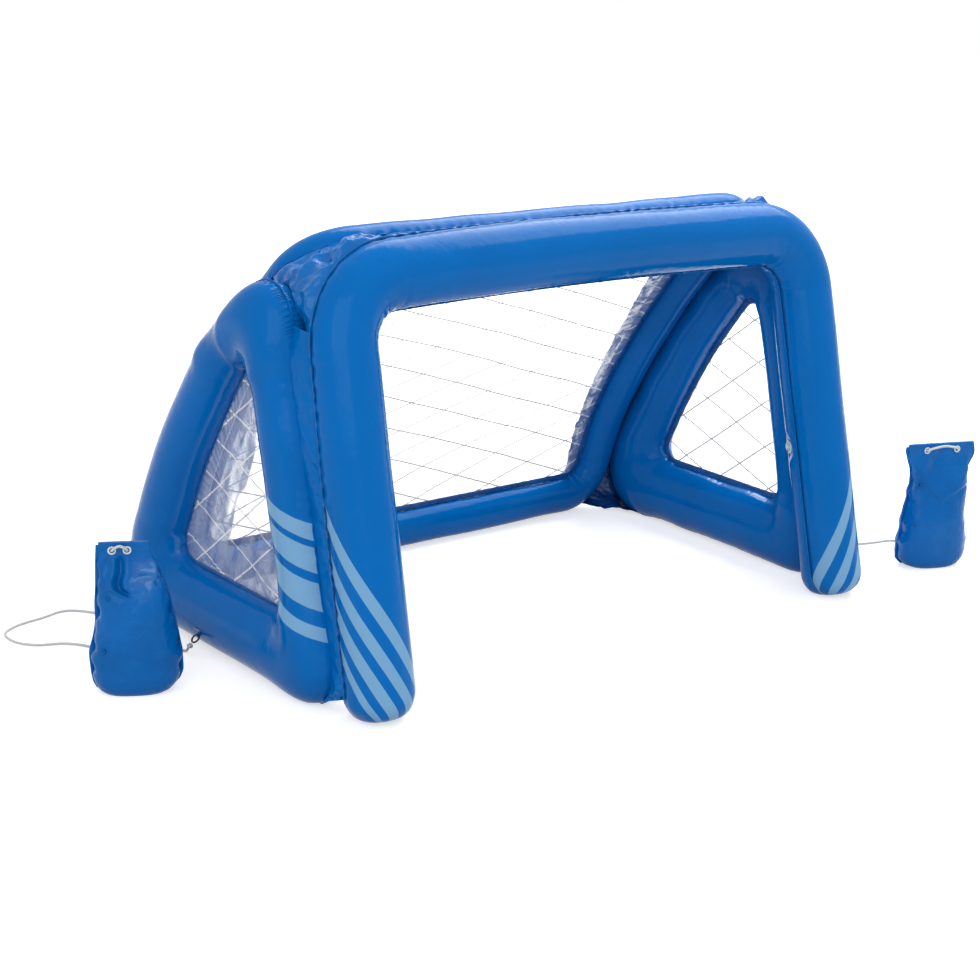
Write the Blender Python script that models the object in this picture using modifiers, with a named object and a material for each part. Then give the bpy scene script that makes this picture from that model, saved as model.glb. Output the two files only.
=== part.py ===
# Inflatable water polo goal: four air chambers, clear net windows, webs, valves and two tethered bags.
# Metres, +Z up, the mouth faces -Y, origin on the floor under the middle of the bounding box.

import math

import bmesh
import bpy
from mathutils import Matrix, Vector
from mathutils.bvhtree import BVHTree

for old in list(bpy.data.objects):
    bpy.data.objects.remove(old, do_unlink=True)

# General clearances
GAP = 0.0003
FLAT = 0.0008
OVERRUN = 0.02

# Front arch, an inverted U of one fat round tube that leans back
ARCH_RADIUS = 0.063
ARCH_HALF_SPAN = 0.574
ARCH_SPLAY = 0.012
ARCH_BAR_HEIGHT = 0.737
ARCH_BAR_SETBACK = 0.185
ARCH_BEND = 0.118
ARCH_BOW = 0.012
ARCH_FOOT_ROUND = 0.045

# Side frames, closed rings beside the arch
SIDE_OUTSIDE_ARCH = 0.063
SIDE_BELOW_ARCH = 0.002
SIDE_BEHIND_ARCH = 0.115
SIDE_THICKNESS = 0.122
SIDE_CORNER = 0.040
SIDE_STATION = 0.046
SIDE_PLANE = ARCH_HALF_SPAN + SIDE_OUTSIDE_ARCH
SIDE_TOP_HEIGHT = ARCH_BAR_HEIGHT - SIDE_BELOW_ARCH
SIDE_TOP_SETBACK = ARCH_BAR_SETBACK + SIDE_BEHIND_ARCH

# Back frame, a rounded ring bent over the profile of the back
BACK_RADIUS = 0.042
BACK_INSIDE_ARCH = 0.028
BACK_ABOVE_ARCH = 0.031
BACK_BEHIND_ARCH = 0.1095
BACK_BEND = 0.088
BACK_FOOT_SETBACK = 0.7400
BACK_HALF_SPAN = ARCH_HALF_SPAN - BACK_INSIDE_ARCH
BACK_TOP_HEIGHT = ARCH_BAR_HEIGHT + BACK_ABOVE_ARCH
BACK_TOP_SETBACK = ARCH_BAR_SETBACK + BACK_BEHIND_ARCH

# Side windows, from the lower front corner round to the top corner
WINDOW_SILL = 0.150
WINDOW_FRONT = 0.212
WINDOW_BEFORE_FOOT = 0.160
WINDOW_BELOW_ARCH = 0.152
WINDOW_BEHIND_ARCH = 0.140
WINDOW_CORNER = 0.022
WINDOW_REAR_SWELL = 0.020
WINDOW_REAR = BACK_FOOT_SETBACK - WINDOW_BEFORE_FOOT
WINDOW_PEAK = ARCH_BAR_HEIGHT - WINDOW_BELOW_ARCH
WINDOW_PEAK_SETBACK = ARCH_BAR_SETBACK + WINDOW_BEHIND_ARCH
RIM_WIDTH = 0.011
RIM_THICKNESS = 0.0030
RIM_CLEARANCE = 0.0006
FILM_THICKNESS = 0.0010

# Webs between neighbouring chambers
WEB_GAP = 0.0040
WEB_CLEARANCE = 0.0007
WEB_HALF_WIDTH = 0.019
WEB_LEAST = 0.0014
WEB_MOST = 0.0032
GUSSET_THICKNESS = 0.0030
GUSSET_HEIGHT = 0.012
GUSSET_CLEARANCE = 0.0010
FLOOR_GUSSET_CLEARANCE = 0.0014
CORNER_WEB_TURN = math.radians(60)
CORNER_WEB_THICKNESS = 0.0020
CORNER_WEB_CLEARANCE = 0.0012

# Air valves
FLANGE_RADIUS = 0.0140
FLANGE_THICKNESS = 0.0014
STEM_RADIUS = 0.0054
STEM_BORE = 0.0042
STEM_LENGTH = 0.0100
STEM_LIP_RADIUS = 0.0082
STEM_LIP_THICKNESS = 0.0011
PLUG_HEAD_RADIUS = 0.0074
PLUG_HEAD_THICKNESS = 0.0018
PLUG_PIN_RADIUS = 0.0033
PLUG_PIN_LENGTH = 0.0040
STRAP_LENGTH = 0.0110
STRAP_WIDTH = 0.0046
WELL_CLEARANCE = 0.0006
SEAT_DEPTH = 0.0030
VALVE_HEIGHT = 0.300
BACK_VALVE_OFFSET = 0.300
SIDE_VALVE_BEFORE_FOOT = 0.140
SIDE_VALVE_HEIGHT = 0.085

# Tether eyes on the side frames
EYE_BEFORE_FOOT = 0.305
EYE_HEIGHT = 0.040
TAB_WIDTH = 0.030
TAB_HEIGHT = 0.022
TAB_THICKNESS = 0.0018
RING_RADIUS = 0.0085
RING_WIRE = 0.0018
KNOT_RADIUS = 0.0062
LUG_THICKNESS = 0.0030
LUG_WIDTH = 0.0080
LUG_REACH = 0.0080
LUG_CLEARANCE = 0.0006

# Anchor bags
BAG_HEIGHT = 0.278
BAG_HALF_WIDTH = 0.083
BAG_HALF_DEPTH = 0.046
BAG_HEM_HALF_THICKNESS = 0.0050
LEFT_BAG_TOP_HALF_WIDTH = 0.044
RIGHT_BAG_TOP_HALF_WIDTH = 0.080
# Each bag stands this far outside its side frame's plane and behind the floor line of the mouth
LEFT_BAG_OUTSIDE = 0.243
LEFT_BAG_BEHIND = 0.355
RIGHT_BAG_OUTSIDE = 0.281
RIGHT_BAG_BEHIND = 0.014
LEFT_BAG_TURN = math.radians(-27)
RIGHT_BAG_TURN = math.radians(-20)
EYELET_RADIUS = 0.0075
EYELET_BORE = 0.0046
EYELET_DROP = 0.014
EYELET_PROUD = 0.0012
LEFT_EYELET_REACH = 0.013
RIGHT_EYELET_REACH = 0.037
LOOP_RISE = 0.010
EYELET_WALL = 0.0010
LEFT_BAG_SHIFT = -0.018
RIGHT_BAG_SHIFT = -0.002

# Cord, 5 mm braid
CORD_RADIUS = 0.0025
CORD_STEP = 0.0135

# Floor points of each cord, measured outward and backward from its knot, and their heights
LEFT_CORD_FLOOR = ((0.0000, 0.016, 0.0048), (0.0080, 0.046, 0.0030), (0.0150, 0.095, 0.0030),
                   (0.0170, 0.155, 0.0030), (0.0230, 0.220, 0.0030), (0.0420, 0.282, 0.0030),
                   (0.0850, 0.326, 0.0030), (0.1410, 0.316, 0.0030), (0.2000, 0.304, 0.0030),
                   (0.2370, 0.278, 0.0030), (0.2400, 0.232, 0.0030), (0.2150, 0.196, 0.0030),
                   (0.1650, 0.172, 0.0030), (0.1340, 0.130, 0.0030), (0.1290, 0.080, 0.0030),
                   (0.1340, 0.030, 0.0030))
RIGHT_CORD_FLOOR = ((0.0000, 0.016, 0.0048), (0.0080, 0.050, 0.0030), (0.0360, 0.090, 0.0030),
                    (0.0760, 0.094, 0.0030), (0.0980, 0.060, 0.0030), (0.0940, 0.010, 0.0030),
                    (0.0780, -0.045, 0.0030), (0.0660, -0.100, 0.0030), (0.0780, -0.152, 0.0030),
                    (0.1120, -0.204, 0.0030), (0.1620, -0.246, 0.0030), (0.2110, -0.263, 0.0030),
                    (0.2500, -0.272, 0.0030), (0.2690, -0.298, 0.0030), (0.2690, -0.332, 0.0030))

# The cord behind a bag, from the floor up to the eyelet: distance behind the hem's plane, and height
CORD_UP_BAG = ((0.0730, 0.0030), (0.0610, 0.0042), (0.0535, 0.0120), (0.0500, 0.0300), (0.0496, 0.0500),
               (0.0496, 0.1000), (0.0455, 0.1557), (0.0390, 0.1950), (0.0350, 0.2200), (0.0340, 0.2400),
               (0.0312, 0.2560))

# Counts of sides and steps, and the angle above which an edge is sharp
TUBE_SIDES = 16
RING_SIDES = 14
SMALL_SIDES = 12
ROUND_SIDES = 24
CORD_SIDES = 8
BAG_SIDES = 16
SPHERE_RINGS = 8
ARCH_BEND_STEPS = 7
BACK_BEND_STEPS = 6
WINDOW_STEPS = 6
CORNER_WEB_STEPS = 12
END_STEPS = 5
CURVE_STEPS = 24
PROFILE_POINTS = 400
OUTLINE_POINTS = 240
TOP_WEB_POINTS = 13
REAR_WEB_POINTS = 17
GUSSET_POINTS = 6
NEAREST_ROUNDS = 80
SEAT_ROUNDS = 30
MOST_CORD_POINTS = 80
SHARP_ANGLE = math.radians(38)

# Blunt end of a leg: how far its closing curve turns, and how full it is
END_TURN = math.radians(84)
END_FULLNESS_SHARE = 0.6

# The back from the side: backward and upward shares of its depth and height, top bar to floor bar
BACK_PROFILE_SHARES = ((0.000, 1.000), (0.115, 0.945), (0.255, 0.860), (0.385, 0.762), (0.515, 0.655),
                       (0.635, 0.545), (0.745, 0.435), (0.840, 0.325), (0.915, 0.220), (0.970, 0.110),
                       (1.000, 0.000))

# Outer edge of a side frame: shares of the floor run, of the back's profile and of the top height
SILL_SHARES = (0.3, 0.5, 0.7, 0.88)
HEEL_SHARES = (0.62, 0.20)
REAR_EDGE_SHARES = (0.90, 0.82, 0.74, 0.66, 0.58, 0.50, 0.42, 0.34, 0.27)
FRONT_EDGE_SHARES = (0.945, 0.87, 0.75, 0.60, 0.45, 0.30, 0.17)
TOE_SHARES = (0.25, 0.20)

# Where webs and gussets lie: shares of the side frame's height or of the back's profile
FRONT_WEB_SHARES = (0.13, 0.20, 0.28, 0.36, 0.44, 0.52, 0.60, 0.68, 0.75)
SHOULDER_SHARES = (0.78, 0.81, 0.84, 0.87, 0.90, 0.925, 0.95)
FRONT_GUSSET_SHARE = 0.11
REAR_WEB_SHARES = (0.28, 0.83)
FLOOR_GUSSET_SHARE = 0.885
FLOOR_GUSSET_FOOT_SHARES = (0.2, 0.4)

# Valve and eye details as shares of the part that they belong to
FLANGE_EDGE_SHARE = 0.7
FLANGE_TOP_SHARE = 0.85
PIN_TIP_SHARE = 0.86
STRAP_ROOT_SHARE = 0.6
RING_SAG_SHARE = 0.35

# Bag levels: height, width and depth shares, and how far gathered to the hem
BAG_LEVEL_SHARES = ((0.000, 0.88, 0.80, 0.0), (0.035, 0.97, 0.96, 0.0), (0.160, 1.00, 1.00, 0.0),
                    (0.360, 0.97, 1.00, 0.1), (0.560, 0.93, 0.90, 0.3), (0.720, 0.86, 0.66, 0.6),
                    (0.840, 0.88, 0.34, 0.9), (0.905, 0.96, 0.00, 1.0), (1.000, 1.00, 0.00, 1.0))
BAG_FULLNESS_SHARES = (0.80, 0.35)

# The bight in front of the hem: across, deep and up
BIGHT_SHARES = ((-1.0, 0.9, 0.0), (-0.72, 1.5, 0.55), (0.0, 1.7, 1.0), (0.72, 1.5, 0.55), (1.0, 0.9, 0.0))

COLLECTION = bpy.data.collections.new("water_polo_goal")
CUTTERS = bpy.data.collections.new("cutters")
bpy.context.scene.collection.children.link(COLLECTION)
bpy.context.scene.collection.children.link(CUTTERS)


def material(name, colour, roughness, metallic=0.0, alpha=1.0):
    found = bpy.data.materials.new(name)
    found.use_nodes = True
    shader = found.node_tree.nodes["Principled BSDF"]
    shader.inputs["Base Color"].default_value = (*colour, 1.0)
    shader.inputs["Roughness"].default_value = roughness
    shader.inputs["Metallic"].default_value = metallic
    shader.inputs["Alpha"].default_value = alpha
    return found


BLUE_VINYL = (0.004, 0.150, 0.470)
DARK_VINYL = (0.004, 0.070, 0.270)
CLEAR_FILM = (0.900, 0.930, 0.950)
VALVE_CLEAR = (0.700, 0.820, 0.900)
BLACK_PLASTIC = (0.010, 0.010, 0.012)
WHITE_PLASTIC = (0.850, 0.860, 0.860)
WHITE_CORD = (0.780, 0.780, 0.760)


def keep(obj, colour, roughness=0.3, alpha=1.0):
    for holder in list(obj.users_collection):
        holder.objects.unlink(obj)
    COLLECTION.objects.link(obj)
    obj.data.materials.clear()
    obj.data.materials.append(material(obj.name + "_finish", colour, roughness, 0.0, alpha))
    obj.data.shade_smooth()
    obj.data.set_sharp_from_angle(angle=SHARP_ANGLE)
    return obj


def new_object(name, mesh, matrix=None):
    obj = bpy.data.objects.new(name, mesh)
    bpy.context.scene.collection.objects.link(obj)
    if matrix is not None:
        obj.matrix_world = matrix
    return obj


def mesh_from_curve(obj):
    # A curve becomes a welded mesh in world space
    bpy.context.view_layer.update()
    graph = bpy.context.evaluated_depsgraph_get()
    mesh = bpy.data.meshes.new_from_object(obj.evaluated_get(graph))
    mesh.transform(obj.matrix_world)
    name = obj.name
    bpy.data.objects.remove(obj, do_unlink=True)
    work = bmesh.new()
    work.from_mesh(mesh)
    bmesh.ops.remove_doubles(work, verts=work.verts, dist=GAP / 10)
    bmesh.ops.recalc_face_normals(work, faces=work.faces)
    work.to_mesh(mesh)
    work.free()
    return new_object(name, mesh)


def tube(name, points, radius, sides, shares=None, closed=False):
    # A round tube along points; shares thin it point by point
    curve = bpy.data.curves.new(name, "CURVE")
    curve.dimensions = "3D"
    curve.bevel_depth = radius
    curve.bevel_resolution = (sides - 4) // 2
    curve.use_fill_caps = not closed
    spline = curve.splines.new("POLY")
    spline.points.add(len(points) - 1)
    spline.use_cyclic_u = closed
    for index, point in enumerate(points):
        spline.points[index].co = (*point, 1.0)
        spline.points[index].radius = shares[index] if shares else 1.0
    return mesh_from_curve(new_object(name, curve))


def plate(name, outline, thickness, matrix):
    # A flat outline with half its thickness to each side
    curve = bpy.data.curves.new(name, "CURVE")
    curve.dimensions = "2D"
    curve.fill_mode = "BOTH"
    curve.extrude = thickness / 2
    loops = outline if isinstance(outline[0][0], (tuple, list, Vector)) else [outline]
    for loop in loops:
        spline = curve.splines.new("POLY")
        spline.points.add(len(loop) - 1)
        spline.use_cyclic_u = True
        for index, point in enumerate(loop):
            spline.points[index].co = (point[0], point[1], 0.0, 1.0)
    return mesh_from_curve(new_object(name, curve, matrix))


def modifier(obj, kind, **values):
    made = obj.modifiers.new(kind.lower(), kind)
    for key, value in values.items():
        setattr(made, key, value)
    return made


def apply_modifiers(obj):
    bpy.context.view_layer.update()
    graph = bpy.context.evaluated_depsgraph_get()
    mesh = bpy.data.meshes.new_from_object(obj.evaluated_get(graph))
    obj.modifiers.clear()
    obj.data = mesh
    return obj


def cut(obj, tool, operation="DIFFERENCE"):
    for holder in list(tool.users_collection):
        holder.objects.unlink(tool)
    CUTTERS.objects.link(tool)
    tool.hide_render = True
    tool.display_type = "WIRE"
    modifier(obj, "BOOLEAN", operation=operation, object=tool, solver="EXACT")
    apply_modifiers(obj)


def box(name, low, high):
    bpy.ops.mesh.primitive_cube_add(size=1.0)
    obj = bpy.context.active_object
    obj.name = name
    low = Vector(low)
    high = Vector(high)
    obj.data.transform(Matrix.Translation((low + high) / 2) @ Matrix.Diagonal((*(high - low), 1.0)))
    return obj


def cylinder(name, radius, low, high, matrix, sides):
    bpy.ops.mesh.primitive_cylinder_add(vertices=sides, radius=radius, depth=high - low)
    obj = bpy.context.active_object
    obj.name = name
    obj.data.transform(matrix @ Matrix.Translation((0.0, 0.0, (low + high) / 2)))
    return obj


def turned(name, profile, matrix, steps):
    # Profile points are (radius, height), outer side first, top to bottom, closed
    mesh = bpy.data.meshes.new(name)
    points = [(radius, 0.0, height) for radius, height in profile]
    edges = [(index, (index + 1) % len(points)) for index in range(len(points))]
    mesh.from_pydata(points, edges, [])
    obj = new_object(name, mesh)
    modifier(obj, "SCREW", steps=steps, render_steps=steps, use_merge_vertices=True, merge_threshold=GAP / 10)
    apply_modifiers(obj)
    work = bmesh.new()
    work.from_mesh(obj.data)
    bmesh.ops.remove_doubles(work, verts=work.verts, dist=GAP / 10)
    bmesh.ops.recalc_face_normals(work, faces=work.faces)
    work.to_mesh(obj.data)
    work.free()
    obj.data.transform(matrix)
    return obj


def loft(name, sections, closed=False):
    # Skins a row of sections with equal point counts; an open row gets end caps
    work = bmesh.new()
    rows = [[work.verts.new(point) for point in section] for section in sections]
    count = len(rows[0])
    last = len(rows) if closed else len(rows) - 1
    for index in range(last):
        here = rows[index]
        there = rows[(index + 1) % len(rows)]
        for side in range(count):
            step = (side + 1) % count
            work.faces.new((here[side], here[step], there[step], there[side]))
    if not closed:
        work.faces.new(rows[0])
        work.faces.new(rows[-1])
    bmesh.ops.recalc_face_normals(work, faces=work.faces)
    mesh = bpy.data.meshes.new(name)
    work.to_mesh(mesh)
    work.free()
    return new_object(name, mesh)


def smooth_curve(points, count, closed=False):
    # Catmull-Rom curve through points, sampled at even distances
    points = [Vector(point) for point in points]
    if closed:
        padded = [points[-1]] + points + [points[0], points[1]]
    else:
        padded = [2 * points[0] - points[1]] + points + [2 * points[-1] - points[-2]]
    fine = []
    for index in range(1, len(padded) - 2):
        before, start, end, after = padded[index - 1:index + 3]
        for step in range(CURVE_STEPS):
            at = step / CURVE_STEPS
            fine.append(0.5 * (2 * start + (end - before) * at
                               + (2 * before - 5 * start + 4 * end - after) * at ** 2
                               + (3 * start - before - 3 * end + after) * at ** 3))
    fine.append(padded[-2])
    return resample(fine, count, closed)


def resample(points, count, closed=False):
    lengths = [0.0]
    for start, end in zip(points, points[1:]):
        lengths.append(lengths[-1] + (end - start).length)
    total = lengths[-1]
    parts = count if closed else count - 1
    found = []
    index = 0
    for number in range(count):
        goal = total * number / parts
        while index < len(lengths) - 2 and lengths[index + 1] < goal:
            index += 1
        span = lengths[index + 1] - lengths[index]
        found.append(points[index].lerp(points[index + 1], (goal - lengths[index]) / span if span else 0.0))
    return found


def rounded(corners, radii, steps, closed=False):
    # Straight runs joined by arcs, in any plane
    corners = [Vector(corner) for corner in corners]
    found = []
    total = len(corners)
    for index, corner in enumerate(corners):
        if not closed and index in (0, total - 1):
            found.append(corner)
            continue
        before = (corners[index - 1] - corner).normalized()
        after = (corners[(index + 1) % total] - corner).normalized()
        half = before.angle(after) / 2
        reach = radii[index] / math.tan(half)
        centre = corner + (before + after).normalized() * radii[index] / math.sin(half)
        start = corner + before * reach - centre
        sweep = math.pi - 2 * half
        side = (before - (before.dot(start) / start.length_squared) * start).normalized() * -radii[index]
        for step in range(steps + 1):
            angle = sweep * step / steps
            found.append(centre + start * math.cos(angle) + side * math.sin(angle))
    return found


def fill_runs(points, longest, closed=False):
    # Adds even points to runs longer than longest
    found = []
    pairs = list(zip(points, points[1:] + (points[:1] if closed else [])))
    for start, end in pairs:
        parts = max(1, math.ceil((end - start).length / longest))
        found += [start.lerp(end, part / parts) for part in range(parts)]
    if not closed:
        found.append(points[-1])
    return found


ARCH_UP = Vector((0.0, ARCH_BAR_SETBACK, ARCH_BAR_HEIGHT)).normalized()
ARCH_RISE = Vector((0.0, ARCH_BAR_SETBACK, ARCH_BAR_HEIGHT)).length


def arch_bow(x, rise):
    # The crossbar bows upward a little under pressure
    spread = max(0.0, 1 - (x / ARCH_HALF_SPAN) ** 2)
    return ARCH_BOW * spread if rise > ARCH_RISE - ARCH_BEND else 0.0


def arch_centreline():
    foot = ARCH_HALF_SPAN + ARCH_SPLAY
    lowest = ARCH_RADIUS - FLAT
    start = lowest / ARCH_UP.z
    corners = [(-foot, start), (-ARCH_HALF_SPAN, ARCH_RISE), (ARCH_HALF_SPAN, ARCH_RISE), (foot, start)]
    flat = rounded([(x, rise, 0.0) for x, rise in corners], [0.0, ARCH_BEND, ARCH_BEND, 0.0], ARCH_BEND_STEPS)
    flat = fill_runs(flat, 2 * ARCH_RADIUS)
    found = []
    for point in flat:
        found.append(Vector((point.x, 0.0, 0.0)) + ARCH_UP * (point.y + arch_bow(point.x, point.y)))
    return found


def rounded_end(points, length):
    # Adds points past each end so that a tube closes with a full, blunt end
    first = (points[0] - points[1]).normalized()
    last = (points[-1] - points[-2]).normalized()
    shares = [1.0] * len(points)
    head = []
    tail = []
    for step in range(1, END_STEPS + 1):
        angle = END_TURN * step / END_STEPS
        head.insert(0, points[0] + first * length * math.sin(angle))
        tail.append(points[-1] + last * length * math.sin(angle))
        share = math.cos(angle) ** END_FULLNESS_SHARE
        shares = [share] + shares + [share]
    return head + points + tail, shares


def floor_cutter(name):
    reach = 2 * SIDE_PLANE
    return box(name, (-reach, -reach, -reach), (reach, reach, 0.0))


def front_arch():
    # The legs stop short so that their blunt ends bear on the floor
    points = arch_centreline()
    legs = ARCH_UP * ((ARCH_FOOT_ROUND - ARCH_RADIUS) / ARCH_UP.z)
    points[0] = points[0] + legs
    points[-1] = points[-1] + legs
    points, shares = rounded_end(points, ARCH_FOOT_ROUND / ARCH_UP.z)
    obj = tube("front_arch", points, ARCH_RADIUS, TUBE_SIDES, shares)
    cut(obj, floor_cutter("front_arch_floor"))
    return obj


def back_profile(count):
    # The back seen from the side, from the top bar down to the floor bar
    depth = BACK_FOOT_SETBACK - BACK_TOP_SETBACK
    foot = BACK_RADIUS - FLAT
    height = BACK_TOP_HEIGHT - foot
    points = [Vector((0.0, BACK_TOP_SETBACK + depth * back, foot + height * up))
              for back, up in BACK_PROFILE_SHARES]
    return smooth_curve(points, count)


PROFILE = back_profile(PROFILE_POINTS)
PROFILE_LENGTH = sum((end - start).length for start, end in zip(PROFILE, PROFILE[1:]))


def on_back(x, down):
    # A point of the back surface: x across, down along the profile
    at = min(max(down / PROFILE_LENGTH, 0.0), 1.0) * (len(PROFILE) - 1)
    index = min(int(at), len(PROFILE) - 2)
    point = PROFILE[index].lerp(PROFILE[index + 1], at - index)
    return Vector((x, point.y, point.z))


def back_outward(down):
    step = PROFILE_LENGTH / len(PROFILE)
    along = on_back(0.0, down + step) - on_back(0.0, down - step)
    return Vector((0.0, -along.z, along.y)).normalized()


def flat_back_ring(inset):
    # The rounded rectangle of the back laid flat, inset from the tube's centreline
    half = BACK_HALF_SPAN - inset
    low = PROFILE_LENGTH - inset
    corners = [(-half, inset, 0.0), (half, inset, 0.0), (half, low, 0.0), (-half, low, 0.0)]
    return fill_runs(rounded(corners, [BACK_BEND - inset] * 4, BACK_BEND_STEPS, True), BACK_BEND, True)


def back_ring(inset):
    return [on_back(point.x, point.y) for point in flat_back_ring(inset)]


def back_frame():
    obj = tube("back_frame", back_ring(0.0), BACK_RADIUS, RING_SIDES, closed=True)
    cut(obj, floor_cutter("back_frame_floor"))
    return obj


def sheet_between(name, outer, inner, thickness):
    # A strip between two rings of points on the back, as thick as thickness
    work = bmesh.new()
    rows = [[work.verts.new(point) for point in pair] for pair in zip(outer, inner)]
    for index, here in enumerate(rows):
        there = rows[(index + 1) % len(rows)]
        work.faces.new((here[0], there[0], there[1], here[1]))
    bmesh.ops.recalc_face_normals(work, faces=work.faces)
    mesh = bpy.data.meshes.new(name)
    work.to_mesh(mesh)
    work.free()
    obj = new_object(name, mesh)
    modifier(obj, "SOLIDIFY", thickness=thickness, offset=0.0)
    return apply_modifiers(obj)


def back_rim():
    reach = BACK_RADIUS + RIM_CLEARANCE
    inner = back_ring(BACK_RADIUS + RIM_WIDTH)
    return sheet_between("back_window_rim", back_ring(reach), inner, RIM_THICKNESS)


def back_window():
    # The film hangs inside the rim as rows across the bent back
    reach = BACK_RADIUS + RIM_WIDTH + GAP
    side = [point for point in flat_back_ring(reach) if point.x > BACK_HALF_SPAN - BACK_BEND - GAP]
    side.sort(key=lambda point: (point.y, point.x if point.y < BACK_BEND else -point.x))
    work = bmesh.new()
    rows = []
    for point in side:
        rows.append([work.verts.new(on_back(sign * point.x, point.y)) for sign in (-1, 1)])
    for here, there in zip(rows, rows[1:]):
        work.faces.new((here[0], here[1], there[1], there[0]))
    bmesh.ops.recalc_face_normals(work, faces=work.faces)
    mesh = bpy.data.meshes.new("back_window")
    work.to_mesh(mesh)
    work.free()
    obj = new_object("back_window", mesh)
    modifier(obj, "SOLIDIFY", thickness=FILM_THICKNESS, offset=0.0)
    return apply_modifiers(obj)


def window_outline(inset):
    # Rounded triangle of a side window in (setback, height), its rear edge swollen
    corners = [(WINDOW_FRONT, WINDOW_SILL), (WINDOW_REAR, WINDOW_SILL),
               (WINDOW_PEAK_SETBACK, WINDOW_PEAK)]
    ring = rounded([(y, z, 0.0) for y, z in corners], [WINDOW_CORNER] * 3, WINDOW_STEPS, True)
    ring = fill_runs(ring, SIDE_STATION, True)
    start = Vector((WINDOW_REAR, WINDOW_SILL, 0.0))
    end = Vector((WINDOW_PEAK_SETBACK, WINDOW_PEAK, 0.0))
    along = (end - start).normalized()
    out = Vector((along.y, -along.x, 0.0))
    found = []
    for point in ring:
        share = (point - start).dot(along) / (end - start).length
        depth = (point - start).dot(out)
        swell = 0.0
        if 0 < share < 1 and depth > -WINDOW_CORNER:
            swell = WINDOW_REAR_SWELL * math.sin(math.pi * share)
        found.append(point + out * swell)
    return offset_ring(found, inset)


def ring_normals(ring):
    # Outward normals of an anticlockwise ring
    found = []
    for index, point in enumerate(ring):
        along = ring[(index + 1) % len(ring)] - ring[index - 1]
        found.append(Vector((along.y, -along.x, 0.0)).normalized())
    return found


def offset_ring(ring, inset):
    return [point - normal * inset for point, normal in zip(ring, ring_normals(ring))]


def ellipse_gap(offset, half_width, half_thickness, apart, radius):
    # Least gap between a round tube at the origin and an oval one that starts offset behind it
    least = None
    for step in range(ROUND_SIDES):
        angle = math.pi * step / ROUND_SIDES - math.pi / 2
        across = apart - half_thickness * math.cos(angle)
        behind = offset + half_width - half_width * math.sin(angle)
        gap = math.hypot(across, behind) - radius
        least = gap if least is None else min(least, gap)
    return least


def seat_behind(far_edge, apart, radius):
    # Offset of an oval tube's near edge that leaves room for one web beside a round tube
    low = -radius
    high = far_edge - GAP
    for _ in range(SEAT_ROUNDS):
        middle = (low + high) / 2
        half_width = (far_edge - middle) / 2
        half = min(SIDE_THICKNESS / 2, half_width)
        if ellipse_gap(middle, half_width, half, apart, radius) < WEB_GAP:
            low = middle
        else:
            high = middle
    return high


LEAN = ARCH_BAR_SETBACK / ARCH_BAR_HEIGHT
WINDOW_LEAN = (WINDOW_PEAK_SETBACK - WINDOW_FRONT) / (WINDOW_PEAK - WINDOW_SILL)


def front_edge(height):
    # Front edge of a side frame, seated behind the leaning leg
    leg = height * LEAN
    splay = ARCH_SPLAY * (1 - height / ARCH_BAR_HEIGHT)
    far = WINDOW_FRONT + WINDOW_LEAN * (height - WINDOW_SILL) - RIM_WIDTH - leg
    return leg + seat_behind(far, SIDE_PLANE - ARCH_HALF_SPAN - splay, ARCH_RADIUS / ARCH_UP.z)


WINDOW_RING = window_outline(-RIM_WIDTH)


def rear_edge(share):
    # Rear edge of a side frame, seated inside the back frame's upright
    down = PROFILE_LENGTH * share
    centre = on_back(0.0, down)
    flat = Vector((centre.y, centre.z, 0.0))
    normal = back_outward(down)
    far = min((point - flat).length for point in WINDOW_RING)
    point = centre - normal * seat_behind(far, SIDE_PLANE - BACK_HALF_SPAN, BACK_RADIUS)
    return Vector((point.y, point.z, 0.0))


def side_outline(count):
    # Outer edge of a side frame in (setback, height), anticlockwise
    sill = -FLAT
    foot = front_edge(SIDE_CORNER)
    points = [Vector((foot + SIDE_CORNER, sill, 0.0))]
    last = rear_edge(REAR_EDGE_SHARES[0])
    run = last.x - SIDE_CORNER - foot
    points += [Vector((foot + run * share, sill, 0.0)) for share in SILL_SHARES]
    points.append(Vector((last.x - SIDE_CORNER * HEEL_SHARES[0], SIDE_CORNER * HEEL_SHARES[1], 0.0)))
    points += [rear_edge(share) for share in REAR_EDGE_SHARES]
    points.append(Vector((SIDE_TOP_SETBACK, SIDE_TOP_HEIGHT, 0.0)))
    heights = [SIDE_TOP_HEIGHT * share for share in FRONT_EDGE_SHARES]
    points += [Vector((front_edge(height), height, 0.0)) for height in heights]
    points.append(Vector((foot, SIDE_CORNER, 0.0)))
    points.append(Vector((foot + SIDE_CORNER * TOE_SHARES[0], SIDE_CORNER * TOE_SHARES[1], 0.0)))
    return smooth_curve(points, count, True)


def ray_to_ring(start, direction, ring):
    # Distance from start along direction to the ring
    best = None
    for index, here in enumerate(ring):
        there = ring[(index + 1) % len(ring)]
        edge = there - here
        cross = direction.x * edge.y - direction.y * edge.x
        if abs(cross) < 1e-12:
            continue
        to = here - start
        far = (to.x * edge.y - to.y * edge.x) / cross
        share = (to.x * direction.y - to.y * direction.x) / cross
        if far > 0 and 0 <= share <= 1 and (best is None or far < best):
            best = far
    return best


def side_frame(name, sign):
    # Each section swells between the window's edge and the outer edge
    inner = window_outline(-RIM_WIDTH)
    normals = ring_normals(inner)
    outer = side_outline(OUTLINE_POINTS)
    sections = []
    for point, normal in zip(inner, normals):
        width = ray_to_ring(point, normal, outer)
        centre = point + normal * width / 2
        half = min(SIDE_THICKNESS / 2, width / 2)
        section = []
        for step in range(TUBE_SIDES):
            angle = 2 * math.pi * step / TUBE_SIDES
            flat = centre - normal * math.cos(angle) * width / 2
            section.append(Vector((sign * (SIDE_PLANE + half * math.sin(angle)), flat.x, flat.y)))
        sections.append(section)
    obj = loft(name, sections, True)
    cut(obj, floor_cutter(name + "_floor"))
    return obj


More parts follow.
